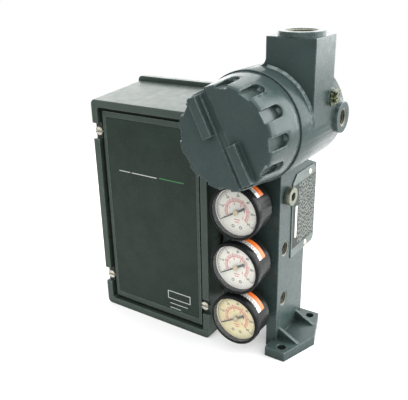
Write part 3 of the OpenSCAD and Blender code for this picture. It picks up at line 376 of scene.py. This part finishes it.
finishes = {
    "paint": enamel("slate_enamel", SLATE, SLATE_EDGE_WEAR_AND_HIGHLIGHT, SLATE_SHEEN),
    "panel": enamel("panel_enamel", shade(COVER_GREY, 0.9), SLATE_EDGE_WEAR_AND_HIGHLIGHT, COVER_SHEEN, rough=(0.34, 0.44)),
    "rubber": moulded("black_rubber", (0.016, 0.017, 0.018), 0.6),
    "nickel": bare_metal("nickel_plate", NICKEL, 0.28),
    "brass": bare_metal("brass", (0.62, 0.44, 0.17), 0.32),
    "steel": bare_metal("steel", (0.50, 0.51, 0.52), 0.34, stretch=(1, 8, 1)),
    "relay_metal": bare_metal("cast_aluminium", (0.46, 0.48, 0.48), 0.5),
    "nameplate": bare_metal("etched_plate", (0.17, 0.20, 0.19), 0.44),
    "gauge_black": black_enamel("gauge_black", (0.007, 0.008, 0.008)),
    "dial": dial_face("dial_white", (0.88, 0.87, 0.80), (0.76, 0.70, 0.50), 0.30),
    "lens": clear_lens(),
    "pointer": moulded("pointer_black", (0.018, 0.016, 0.014), 0.4),
    "coil": moulded("coil_resin", (0.03, 0.033, 0.036), 0.45),
    "board": moulded("board_green", (0.03, 0.10, 0.05), 0.4),
}
cover_enamel = enamel("cover_enamel", COVER_GREY, SLATE_EDGE_WEAR_AND_HIGHLIGHT, COVER_SHEEN,
                      rough=(0.26, 0.38), shade_in_corners=(7 * MM, 0.95))
dial_aged = dial_face("dial_aged", (0.80, 0.74, 0.44), (0.70, 0.50, 0.20), 0.8)
label_film = film("label_film", LABEL_BLACK, LABEL_DUST)
ink_black = printed("ink_black", (0.02, 0.02, 0.02))
ink_red = printed("ink_red", (0.60, 0.07, 0.08))
ink_white = printed("ink_white", (0.56, 0.58, 0.54))
ink_green = printed("ink_green", (0.025, 0.17, 0.05))
film_white = printed("film_white", (0.80, 0.79, 0.76), rough=0.4)
film_orange = printed("film_orange", (0.72, 0.15, 0.015), rough=0.4)
ink_grey = printed("ink_grey", (0.05, 0.05, 0.05))
etched_dark = printed("etched_dark", (0.035, 0.042, 0.038), rough=0.55, gloss=0.2)
etched_light = printed("etched_light", (0.36, 0.39, 0.36), gloss=0.2)
tapped_metal = cut_thread("tapped_metal", (0.20, 0.195, 0.15), 0.45)
hub_tan = bare_metal("hub_tan", (0.50, 0.43, 0.27), 0.45)
dull_nickel = bare_metal("dull_nickel", (0.24, 0.26, 0.21), 0.44)
rusty_brass = corroded("rusty_brass", (0.020, 0.024, 0.012), (0.17, 0.21, 0.09), 0.5)
screw_nickel = bare_metal("screw_nickel", NICKEL, 0.28, dark_edge=1.2 * MM)

# Nodes whose finish differs from the rest of their slot
OTHER_FINISH = {
    "front_cover": cover_enamel,
    "base_casting": cover_enamel,
    "gauge_dial_1": dial_aged,
    "ground_clamp": rusty_brass,
    "ground_screw": rusty_brass,
    "port_plug": dull_nickel,
    "cover_screws": screw_nickel,
}


# Carried over nodes

def soften(obj, width):
    """Rounds the outer edges of a node with modifiers, without touching its mesh."""
    weld = obj.modifiers.new("weld", "WELD")
    weld.merge_threshold = WELD_REACH
    edge = obj.modifiers.new("edge", "BEVEL")
    edge.limit_method = "ANGLE"
    edge.angle_limit = EDGE_ANGLE
    edge.width = width
    edge.segments = EDGE_SEGMENTS
    edge.use_clamp_overlap = False
    edge.loop_slide = False
    edge.harden_normals = True


def dress_nodes():
    for name, obj in nodes.items():
        own = obj.material_slots[0].material.name.split(".")[0]
        obj.material_slots[0].material = OTHER_FINISH.get(name, finishes[own])
        if name not in PLAIN_NODES:
            soften(obj, EDGE_WIDTHS.get(name, SMALL_EDGE))


# Mesh pieces

def finish_piece(name, bm, body, material, smooth=0.0):
    """Turns a bmesh into a piece, riding on a body if one is named. Faces under the smooth angle blend."""
    bmesh.ops.recalc_face_normals(bm, faces=bm.faces)
    mesh = bpy.data.meshes.new(name)
    bm.to_mesh(mesh)
    bm.free()
    obj = bpy.data.objects.new(name, mesh)
    bpy.context.scene.collection.objects.link(obj)
    mesh.materials.append(material)
    if smooth:
        mesh.shade_smooth()
        mesh.set_sharp_from_angle(angle=math.radians(smooth))
    if body:
        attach(obj, body)
    return obj


def skin(bm, rows):
    """Joins each closed row of points to the next one with faces."""
    for row, after in zip(rows, rows[1:]):
        count = len(row)
        for k in range(count):
            j = (k + 1) % count
            bm.faces.new((row[k], row[j], after[j], after[k]))


def closed_skin(bm, rows):
    """A skin over rows of points, with a face on the first and the last row."""
    skin(bm, rows)
    bm.faces.new(rows[0])
    bm.faces.new(rows[-1][::-1])


def prism(bm, outline, extrude):
    """A closed prism from a flat outline and an extrusion vector."""
    low = [bm.verts.new(point) for point in outline]
    high = [bm.verts.new(Vector(point) + Vector(extrude)) for point in outline]
    closed_skin(bm, [low, high])


def bar_xz(bm, x0, x1, z0, z1, y0, thick):
    """A thin bar facing the front."""
    prism(bm, [(x0, y0, z0), (x1, y0, z0), (x1, y0, z1), (x0, y0, z1)], (0, thick, 0))


def rounded(x0, x1, z0, z1, radius, y, steps=6):
    """Points of a rectangle with round corners, facing the front."""
    points = []
    corners = [(x1 - radius, z1 - radius, 0), (x0 + radius, z1 - radius, 90),
               (x0 + radius, z0 + radius, 180), (x1 - radius, z0 + radius, 270)]
    for cx, cz, start in corners:
        for i in range(steps + 1):
            a = math.radians(start + 90 * i / steps)
            points.append((cx + radius * math.cos(a), y, cz + radius * math.sin(a)))
    return points


def lathe(bm, place, out, profile, sides, ring=False):
    """Turns a profile of (radius, distance along out) about an axis. A ring's profile closes on itself."""
    out = Vector(out)
    across = out.orthogonal().normalized()
    other = out.cross(across)
    rows = []
    for radius, along in profile:
        row = []
        for k in range(sides):
            a = math.tau * k / sides
            ray = across * math.cos(a) + other * math.sin(a)
            row.append(bm.verts.new(Vector(place) + out * along + ray * radius))
        rows.append(row)
    if ring:
        skin(bm, rows + rows[:1])
    else:
        closed_skin(bm, rows)


# Label on the front panel

LABEL_SIDE = 2.8 * MM
LABEL_END = 4.5 * MM
LABEL_SINK = 0.5 * MM
FILM_T = 0.25 * MM
FILM_GAP = 0.25 * MM
FILM_CORNER = 0.8 * MM
INK_T = 0.04 * MM
# Rule across the label, from the panel's lower left corner: starts and lengths of its white parts
LABEL_RULE_X, LABEL_RULE_Z = 13.3 * MM, 119.3 * MM
LABEL_RULE_H = 0.7 * MM
LABEL_RULE_PARTS = ((0.0, 11.5 * MM), (13.0 * MM, 25.0 * MM))
# Its green part, with heights from the rule's lower edge
GREEN_X = (53.8 * MM, 77.3 * MM)
GREEN_Z = (0.3 * MM, 1.2 * MM)
# Empty tag field, and the drops and lengths of the bars under it
TAG_X = (57.2 * MM, 80.0 * MM)
TAG_Z = (14.6 * MM, 22.2 * MM)
TAG_LINE = 0.7 * MM
TAG_BARS = ((4.4 * MM, 18.0 * MM), (8.6 * MM, 11.0 * MM))
TAG_BAR_IN = 1.8 * MM
TAG_BAR_H = 0.6 * MM


def add_label():
    """Dark film in the panel's field, with plain rules and an empty tag field."""
    low, high = (Vector(corner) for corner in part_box("cover_panel"))
    field_y = low.y + LABEL_SINK
    x0, x1 = low.x + LABEL_SIDE + FILM_GAP, high.x - LABEL_SIDE - FILM_GAP
    z0, z1 = low.z + LABEL_END + FILM_GAP, high.z - LABEL_END - FILM_GAP
    bm = bmesh.new()
    prism(bm, rounded(x0, x1, z0, z1, FILM_CORNER, field_y), (0, -FILM_T, 0))
    finish_piece("label_film", bm, "front_cover", label_film)
    ink_y = field_y - FILM_T

    rule_z = low.z + LABEL_RULE_Z
    bm = bmesh.new()
    for start, length in LABEL_RULE_PARTS:
        left = low.x + LABEL_RULE_X + start
        bar_xz(bm, left, left + length, rule_z, rule_z + LABEL_RULE_H, ink_y, -INK_T)
    tag_x0, tag_x1 = (low.x + x for x in TAG_X)
    tag_z0, tag_z1 = (low.z + z for z in TAG_Z)
    inner_x0, inner_x1 = tag_x0 + TAG_LINE, tag_x1 - TAG_LINE
    inner_z0, inner_z1 = tag_z0 + TAG_LINE, tag_z1 - TAG_LINE
    for bar in ((tag_x0, tag_x1, tag_z0, inner_z0), (tag_x0, tag_x1, inner_z1, tag_z1),
                (tag_x0, inner_x0, inner_z0, inner_z1), (inner_x1, tag_x1, inner_z0, inner_z1)):
        bar_xz(bm, *bar, ink_y, -INK_T)
    bar_x = tag_x0 + TAG_BAR_IN
    for drop, length in TAG_BARS:
        z = tag_z0 - drop
        bar_xz(bm, bar_x, bar_x + length, z, z + TAG_BAR_H, ink_y, -INK_T)
    finish_piece("label_rules_white", bm, "front_cover", ink_white)

    bm = bmesh.new()
    green_x0, green_x1 = (low.x + x for x in GREEN_X)
    green_z0, green_z1 = (rule_z + z for z in GREEN_Z)
    bar_xz(bm, green_x0, green_x1, green_z0, green_z1, ink_y, -INK_T)
    finish_piece("label_rule_green", bm, "front_cover", ink_green)


# Gauges. Angles are in degrees

GAUGES = (1, 2, 3)
SCALE_START = 211.0
SCALE_SWEEP = 250.0
ARC_STEPS = 48
DIGIT_WEIGHT = 0.025
DIGIT_STEPS = 3
DRUM_R = 19.0 * MM
WRAP_STEP = 3
BAND_T = 0.12 * MM
BAND_IN = 6.7 * MM
BAND_W = 4.6 * MM
BAND_STARTS = {1: 26, 2: 26, 3: 40}
BAND_END = 112
BAND_RULES = 4
RULE_W = 0.5 * MM
RULE_LOW, RULE_HIGH = 12, 3
DASH_MIN, DASH_MAX = 3.0, 9.0
DASH_GAP = 1.6
HUB_PROFILE = [(2.1 * MM, -0.6 * MM), (2.1 * MM, -0.1 * MM), (1.7 * MM, 0.08 * MM), (0.6 * MM, 0.15 * MM)]
HUB_SIDES = 28


def text_mesh(words, size):
    """A flat mesh of plain digits, centred, drawn in X and Y."""
    curve = bpy.data.curves.new("digits", "FONT")
    curve.body = words
    curve.size = size
    curve.align_x = "CENTER"
    curve.align_y = "CENTER"
    curve.extrude = INK_T / 2
    curve.offset = size * DIGIT_WEIGHT
    curve.resolution_u = DIGIT_STEPS
    holder = bpy.data.objects.new("digits", curve)
    bpy.context.scene.collection.objects.link(holder)
    graph = bpy.context.evaluated_depsgraph_get()
    mesh = bpy.data.meshes.new_from_object(holder.evaluated_get(graph))
    bpy.data.objects.remove(holder)
    bpy.data.curves.remove(curve)
    return mesh


def add_digits(bm, words, size, centre):
    mesh = text_mesh(words, size)
    mesh.transform(Matrix.Translation(centre) @ Matrix.Rotation(math.radians(90), 4, "X"))
    bm.from_mesh(mesh)
    bpy.data.meshes.remove(mesh)


def add_tick(bm, centre, angle, r0, r1, half):
    along = Vector((math.cos(angle), 0, math.sin(angle)))
    across = Vector((-math.sin(angle), 0, math.cos(angle))) * half
    outline = [centre + along * r0 - across, centre + along * r1 - across,
               centre + along * r1 + across, centre + along * r0 + across]
    prism(bm, outline, (0, -INK_T, 0))


def scale_angle(share):
    return math.radians(SCALE_START - SCALE_SWEEP * share)


def add_arc(bm, centre, r0, r1):
    """A line round the dial, from the scale's start to its end."""
    for i in range(ARC_STEPS):
        a, b = scale_angle(i / ARC_STEPS), scale_angle((i + 1) / ARC_STEPS)
        outline = []
        for radius, angle in ((r0, a), (r1, a), (r1, b), (r0, b)):
            outline.append(centre + Vector((math.cos(angle), 0, math.sin(angle))) * radius)
        prism(bm, outline, (0, -INK_T, 0))


def add_scale(bm, centre, scale):
    """Ticks and plain numbers round a dial: a long tick and a number every few ticks."""
    for i in range(scale["ticks"] + 1):
        long_tick = i % scale["every"] == 0
        angle = scale_angle(i / scale["ticks"])
        reach = scale["long"] if long_tick else scale["short"]
        half = scale["line"] if long_tick else scale["line"] * SHORT_LINE
        add_tick(bm, centre, angle, scale["radius"], scale["radius"] + reach, half)
        if long_tick:
            spot = centre + Vector((math.cos(angle), 0, math.sin(angle))) * scale["number_r"]
            number = str(i // scale["every"] * scale["step"])
            add_digits(bm, number, scale["size"], spot - Vector((0, INK_T / 2, 0)))


BLACK_SCALE = {
    "ticks": 60, "every": 10, "step": 10,
    "radius": 16.2 * MM, "long": -3.0 * MM, "short": -1.7 * MM, "line": 0.20 * MM,
    "number_r": 12.0 * MM, "size": 2.4 * MM,
}
RED_SCALE = {
    "ticks": 50, "every": 10, "step": 1,
    "radius": 8.0 * MM, "long": 2.8 * MM, "short": 2.2 * MM, "line": 0.26 * MM,
    "number_r": 6.1 * MM, "size": 2.6 * MM,
}
# Share of a long tick's width that a short one has
SHORT_LINE = 0.6
SCALE_LINE = 0.35 * MM
UNIT_BARS = ((-6.2 * MM, 4.6 * MM), (-8.0 * MM, 3.2 * MM))
UNIT_BAR_H = 0.6 * MM
RING_MARKS = ((-3.1 * MM, -11.2 * MM), (3.0 * MM, -11.4 * MM))
RING_MARK_R = 0.7 * MM
RING_MARK_LINE = 0.5 * MM
RING_MARK_SIDES = 20


def wrap(bm, centre, r0, r1, y0, y1, first, last):
    """A strip wrapped round the drum between two angles."""
    steps = max(2, round((last - first) / WRAP_STEP))
    rings = []
    for i in range(steps + 1):
        a = math.radians(first + (last - first) * i / steps)
        ray = Vector((math.cos(a), 0, math.sin(a)))
        ring = []
        for radius, y in ((r0, y0), (r1, y0), (r1, y1), (r0, y1)):
            ring.append(bm.verts.new(Vector((centre.x, y, centre.z)) + ray * radius))
        rings.append(ring)
    closed_skin(bm, rings)


def add_bands(n, centre):
    """A white and an orange film on the drum's upper right, with plain dashes on the white one."""
    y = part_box(f"gauge_case_{n}")[0][1] + BAND_IN
    band = (BAND_STARTS[n], BAND_END)
    outer = DRUM_R + BAND_T
    for name, start, material in (("white", y, film_white), ("orange", y + BAND_W, film_orange)):
        bm = bmesh.new()
        wrap(bm, centre, DRUM_R, outer, start, start + BAND_W, *band)
        finish_piece(f"gauge_{n}_band_{name}", bm, "case", material, smooth=30)
    bm = bmesh.new()
    lengths = random.Random(n)
    for step in range(1, BAND_RULES + 1):
        rule_y = y + BAND_W * step / (BAND_RULES + 1) - RULE_W / 2
        angle = band[0] + RULE_LOW
        while angle < band[1] - RULE_HIGH:
            stop = min(angle + lengths.uniform(DASH_MIN, DASH_MAX), band[1] - RULE_HIGH)
            wrap(bm, centre, outer, outer + INK_T, rule_y, rule_y + RULE_W, angle, stop)
            angle = stop + DASH_GAP
    finish_piece(f"gauge_{n}_band_rules", bm, "case", ink_grey, smooth=30)


def add_unit_bars(bm, centre, bars):
    """Plain bars where a dial names its units."""
    for drop, length in bars:
        z = centre.z + drop
        half = length / 2
        bar_xz(bm, centre.x - half, centre.x + half, z, z + UNIT_BAR_H, centre.y, -INK_T)


def add_gauge(n):
    """Scales, plain marks and bands of one gauge, and the hub on its pointer."""
    low, high = (Vector(corner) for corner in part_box(f"gauge_dial_{n}"))
    centre = Vector(((low.x + high.x) / 2, low.y, (low.z + high.z) / 2))
    bm = bmesh.new()
    add_scale(bm, centre, BLACK_SCALE)
    add_arc(bm, centre, BLACK_SCALE["radius"], BLACK_SCALE["radius"] + SCALE_LINE)
    outer = RING_MARK_R + RING_MARK_LINE
    ring = [(RING_MARK_R, 0), (outer, 0), (outer, INK_T), (RING_MARK_R, INK_T)]
    for x, z in RING_MARKS:
        lathe(bm, centre + Vector((x, 0, z)), (0, -1, 0), ring, RING_MARK_SIDES, ring=True)
    finish_piece(f"gauge_{n}_scale_black", bm, "case", ink_black)
    bm = bmesh.new()
    add_scale(bm, centre, RED_SCALE)
    add_arc(bm, centre, RED_SCALE["radius"] - SCALE_LINE, RED_SCALE["radius"])
    add_unit_bars(bm, centre, UNIT_BARS)
    finish_piece(f"gauge_{n}_scale_red", bm, "case", ink_red)
    add_bands(n, centre)

    front = Vector(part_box(f"gauge_pointer_{n}")[0]).y
    bm = bmesh.new()
    lathe(bm, (centre.x, front, centre.z), (0, -1, 0), HUB_PROFILE, HUB_SIDES)
    finish_piece(f"gauge_{n}_hub", bm, f"gauge_pointer_{n}", hub_tan, smooth=50)


# Nameplate

PLATE_ROWS = 15
PLATE_SEED = 5
PLATE_MARGIN = 1.2 * MM
PLATE_LOW = 6.8 * MM
PLATE_HIGH = 8.0 * MM
ROW_W = 0.65 * MM
GAP_MIN, GAP_MAX = 0.5 * MM, 2.0 * MM
WORD_MIN, WORD_MAX = 0.6 * MM, 3.0 * MM
STRIP_Y = 7.0 * MM
STRIP_W = 3.2 * MM
STRIP_Z = (15.0 * MM, 41.0 * MM)


def bar_yz(bm, y0, y1, z0, z1, x, thick):
    """A thin bar facing the right."""
    prism(bm, [(x, y0, z0), (x, y1, z0), (x, y1, z1), (x, y0, z1)], (thick, 0, 0))


def add_nameplate():
    """A dark etched field with blank light rows on the nameplate, and an empty white strip."""
    low, high = (Vector(corner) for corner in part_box("nameplate"))
    z0, z1 = low.z + PLATE_LOW, high.z - PLATE_HIGH
    bm = bmesh.new()
    bar_yz(bm, low.y + PLATE_MARGIN, high.y - PLATE_MARGIN, z0, z1, high.x, INK_T)
    finish_piece("nameplate_field", bm, "case", etched_dark)

    lengths = random.Random(PLATE_SEED)
    rows_y = low.y + STRIP_Y + STRIP_W
    y_step = (high.y - PLATE_MARGIN - rows_y) / PLATE_ROWS
    bm = bmesh.new()
    for i in range(PLATE_ROWS):
        y = rows_y + (i + 0.5) * y_step - ROW_W / 2
        z = z0 + WORD_MIN + lengths.uniform(0, WORD_MAX)
        end = z1 - WORD_MIN
        while z < end - WORD_MIN:
            stop = min(z + lengths.uniform(WORD_MIN, WORD_MAX), end)
            bar_yz(bm, y, y + ROW_W, z, stop, high.x + INK_T, INK_T)
            z = stop + lengths.uniform(GAP_MIN, GAP_MAX)
    finish_piece("nameplate_rows", bm, "case", etched_light)

    bm = bmesh.new()
    strip_y = low.y + STRIP_Y - STRIP_W / 2
    strip_x = high.x + INK_T
    bar_yz(bm, strip_y, strip_y + STRIP_W, low.z + STRIP_Z[0], low.z + STRIP_Z[1], strip_x, INK_T)
    finish_piece("nameplate_strip", bm, "case", film_white)


# Fillet where the conduit tower meets the round housing

HOUSING_R = 37.5 * MM
TOWER_FRONT_Y = -71.0 * MM
FILLET_R = 1.6 * MM
FILLET_SINK = 0.2 * MM
FILLET_ANGLES = (3.0, 84.0)
FILLET_STEPS = 40
CURVE_STEPS = 6


def add_tower_fillet():
    """A concave fillet along the arc under the tower's front face."""
    joints = {joint["name"]: joint for joint in frame["joints"]}
    axis = Vector(joints["cap_turn"]["pos_m"])
    section = [(-FILLET_SINK, FILLET_SINK), (-FILLET_SINK, -FILLET_R)]
    for i in range(CURVE_STEPS + 1):
        a = math.radians(90 * i / CURVE_STEPS)
        section.append((FILLET_R * (1 - math.cos(a)), -FILLET_R * (1 - math.sin(a))))
    section.append((FILLET_R, FILLET_SINK))
    bm = bmesh.new()
    rows = []
    first, last = FILLET_ANGLES
    for i in range(FILLET_STEPS + 1):
        a = math.radians(first + (last - first) * i / FILLET_STEPS)
        ray = Vector((math.cos(a), 0, math.sin(a)))
        row = []
        for out, back in section:
            spot = Vector((axis.x, TOWER_FRONT_Y + back, axis.z))
            row.append(bm.verts.new(spot + ray * (HOUSING_R + out)))
        rows.append(row)
    closed_skin(bm, rows)
    finish_piece("tower_fillet", bm, "case", finishes["paint"], smooth=40)


# Tapped holes

# Pitch of each thread, and the node and corner of its box that give the plane of the hole's mouth
THREADS = {
    "supply_port": (1.4 * MM, "nameplate", 0),
    "output_port": (1.4 * MM, "nameplate", 0),
    "conduit_entry": (1.8 * MM, "converter_housing", 1),
    "side_entry": (1.4 * MM, "converter_housing", 1),
}
THREAD_START = 0.4 * MM
THREAD_SIDES = 48
# Shares of the pitch: depth of the thread, start and end of a crest
THREAD_DEPTH = 0.55
CREST_START, CREST_END = 0.4, 0.6
# Share of the depth that is left in a root
ROOT_LEFT = 0.1


def add_threads():
    """Thread grooves in the open tapped holes, sized from the mounts."""
    for mount in frame["record"]["mounts"]:
        if mount["name"] not in THREADS:
            continue
        pitch, node, corner = THREADS[mount["name"]]
        place, out = Vector(mount["pos_m"]), Vector(mount["axis"])
        mouth = place + out * (Vector(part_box(node)[corner]) - place).dot(out)
        radius = mount["dims"]["r_mm"] * MM
        turns = int((mount["dims"]["length_mm"] * MM - THREAD_START) / pitch)
        depth = pitch * THREAD_DEPTH
        profile = [(radius, -THREAD_START - turns * pitch), (radius, -THREAD_START)]
        for i in range(turns):
            along = -THREAD_START - i * pitch
            profile.append((radius - depth, along - pitch * CREST_START))
            profile.append((radius - depth, along - pitch * CREST_END))
            if i < turns - 1:
                profile.append((radius - depth * ROOT_LEFT, along - pitch))
        bm = bmesh.new()
        lathe(bm, mouth, out, profile, THREAD_SIDES, ring=True)
        finish_piece(mount["name"] + "_thread", bm, "case", tapped_metal, smooth=25)


# Range spring

WIRE_R = 0.7 * MM
WIRE_SIDES = 12
SPRING_TURNS = 7
TURN_STEPS = 28
# Room for the tilting beam over the coil
SPRING_SHORT = 0.8 * MM


def add_spring():
    """Smooth coil in place of the faceted one."""
    low, high = (Vector(corner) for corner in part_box("range_spring"))
    radius = (high.x - low.x) / 2 - WIRE_R
    centre = (low + high) / 2
    steps = SPRING_TURNS * TURN_STEPS
    bm = bmesh.new()
    rings = []
    for i in range(steps + 1):
        a = math.pi + math.tau * SPRING_TURNS * i / steps
        z = low.z + WIRE_R + (high.z - low.z - 2 * WIRE_R - SPRING_SHORT) * i / steps
        ray = Vector((math.cos(a), math.sin(a), 0))
        ring = []
        for k in range(WIRE_SIDES):
            s = math.tau * k / WIRE_SIDES
            point = ray * (radius + WIRE_R * math.cos(s)) + Vector((0, 0, z + WIRE_R * math.sin(s)))
            ring.append(bm.verts.new(point + Vector((centre.x, centre.y, 0))))
        rings.append(ring)
    closed_skin(bm, rings)
    spring = finish_piece("range_spring_coil", bm, None, finishes["nickel"], smooth=40)
    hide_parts("range_spring")
    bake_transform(spring)


# Stage, camera and light

def add_floor():
    bm = bmesh.new()
    half = FLOOR_SIDE / 2
    z = cad_box[0][2]
    corners = ((-half, -half), (half, -half), (half, half), (-half, half))
    bm.faces.new([bm.verts.new((x, y, z)) for x, y in corners])
    mesh = bpy.data.meshes.new("floor")
    bm.to_mesh(mesh)
    bm.free()
    mesh.materials.append(floor_paint())
    floor = bpy.data.objects.new("floor", mesh)
    bpy.context.scene.collection.objects.link(floor)


def floor_paint():
    """Pale grey that takes the shadow, with a glow that only direct and mirrored views see."""
    material = bpy.data.materials.new("floor")
    material.use_nodes = True
    tree = material.node_tree
    tree.nodes.clear()
    place = tree.nodes.new("ShaderNodeTexCoord")
    away = tree.nodes.new("ShaderNodeVectorMath")
    away.operation = "LENGTH"
    tree.links.new(place.outputs["Object"], away.inputs[0])
    grey = far_blend(tree, away.outputs["Value"], FLOOR_GREY, 0.0)
    diffuse = tree.nodes.new("ShaderNodeBsdfDiffuse")
    tree.links.new(grey, diffuse.inputs["Color"])
    glow = tree.nodes.new("ShaderNodeEmission")
    level = tree.nodes.new("ShaderNodeMath")
    level.operation = "MULTIPLY"
    tree.links.new(far_blend(tree, away.outputs["Value"], FLOOR_GLOW, 1.0), level.inputs[0])
    tree.links.new(seen_directly(tree, 1.0, 0.0), level.inputs[1])
    tree.links.new(level.outputs[0], glow.inputs["Strength"])
    both = tree.nodes.new("ShaderNodeAddShader")
    tree.links.new(diffuse.outputs[0], both.inputs[0])
    tree.links.new(glow.outputs[0], both.inputs[1])
    output = tree.nodes.new("ShaderNodeOutputMaterial")
    tree.links.new(both.outputs[0], output.inputs["Surface"])
    return material


def far_blend(tree, distance, near, far):
    """A value that goes from near to far with the distance from the object."""
    node = tree.nodes.new("ShaderNodeMapRange")
    node.interpolation_type = "SMOOTHSTEP"
    node.inputs["From Min"].default_value = FLOOR_NEAR
    node.inputs["From Max"].default_value = FLOOR_FAR
    node.inputs["To Min"].default_value = near
    node.inputs["To Max"].default_value = far
    tree.links.new(distance, node.inputs["Value"])
    return node.outputs["Result"]


def seen_directly(tree, seen, unseen):
    """A strength for camera, glossy and transmission rays, and another for the rest."""
    path = tree.nodes.new("ShaderNodeLightPath")
    total = path.outputs["Is Camera Ray"]
    for kind in ("Is Glossy Ray", "Is Transmission Ray"):
        node = tree.nodes.new("ShaderNodeMath")
        node.operation = "MAXIMUM"
        tree.links.new(total, node.inputs[0])
        tree.links.new(path.outputs[kind], node.inputs[1])
        total = node.outputs[0]
    level = tree.nodes.new("ShaderNodeMapRange")
    level.inputs["To Min"].default_value = unseen
    level.inputs["To Max"].default_value = seen
    tree.links.new(total, level.inputs["Value"])
    return level.outputs["Result"]


def add_sky():
    world = bpy.data.worlds.new("studio")
    bpy.context.scene.world = world
    world.use_nodes = True
    tree = world.node_tree
    sky = tree.nodes["Background"]
    sky.inputs["Color"].default_value = (1, 1, 1, 1)
    tree.links.new(seen_directly(tree, 1.0, SKY_STRENGTH), sky.inputs["Strength"])


def add_lamps():
    for name, (place, aim, side, power) in LAMPS.items():
        light = bpy.data.lights.new(name, "AREA")
        light.size = side
        light.energy = power
        lamp = bpy.data.objects.new(name, light)
        bpy.context.scene.collection.objects.link(lamp)
        lamp.location = place
        lamp.rotation_euler = (Vector(aim) - Vector(place)).to_track_quat("-Z", "Y").to_euler()


def add_camera():
    data = bpy.data.cameras.new("camera")
    data.sensor_fit = "HORIZONTAL"
    data.sensor_width = SENSOR_W
    data.lens = FOCAL_PX * SENSOR_W / IMAGE_W
    data.clip_start = CLIP_START
    camera = bpy.data.objects.new("camera", data)
    bpy.context.scene.collection.objects.link(camera)
    turn = Matrix.Rotation(math.radians(CAMERA_YAW), 4, "Z")
    tilt = Matrix.Rotation(math.radians(90 - CAMERA_TILT), 4, "X")
    roll = Matrix.Rotation(math.radians(CAMERA_ROLL), 4, "Z")
    camera.matrix_world = Matrix.Translation(CAMERA_AT) @ turn @ tilt @ roll
    bpy.context.scene.camera = camera


bpy.context.scene.view_settings.view_transform = "Standard"
add_camera()
add_lamps()
add_sky()
add_floor()
dress_nodes()
add_label()
for gauge in GAUGES:
    add_gauge(gauge)
add_nameplate()
add_tower_fillet()
add_threads()
add_spring()
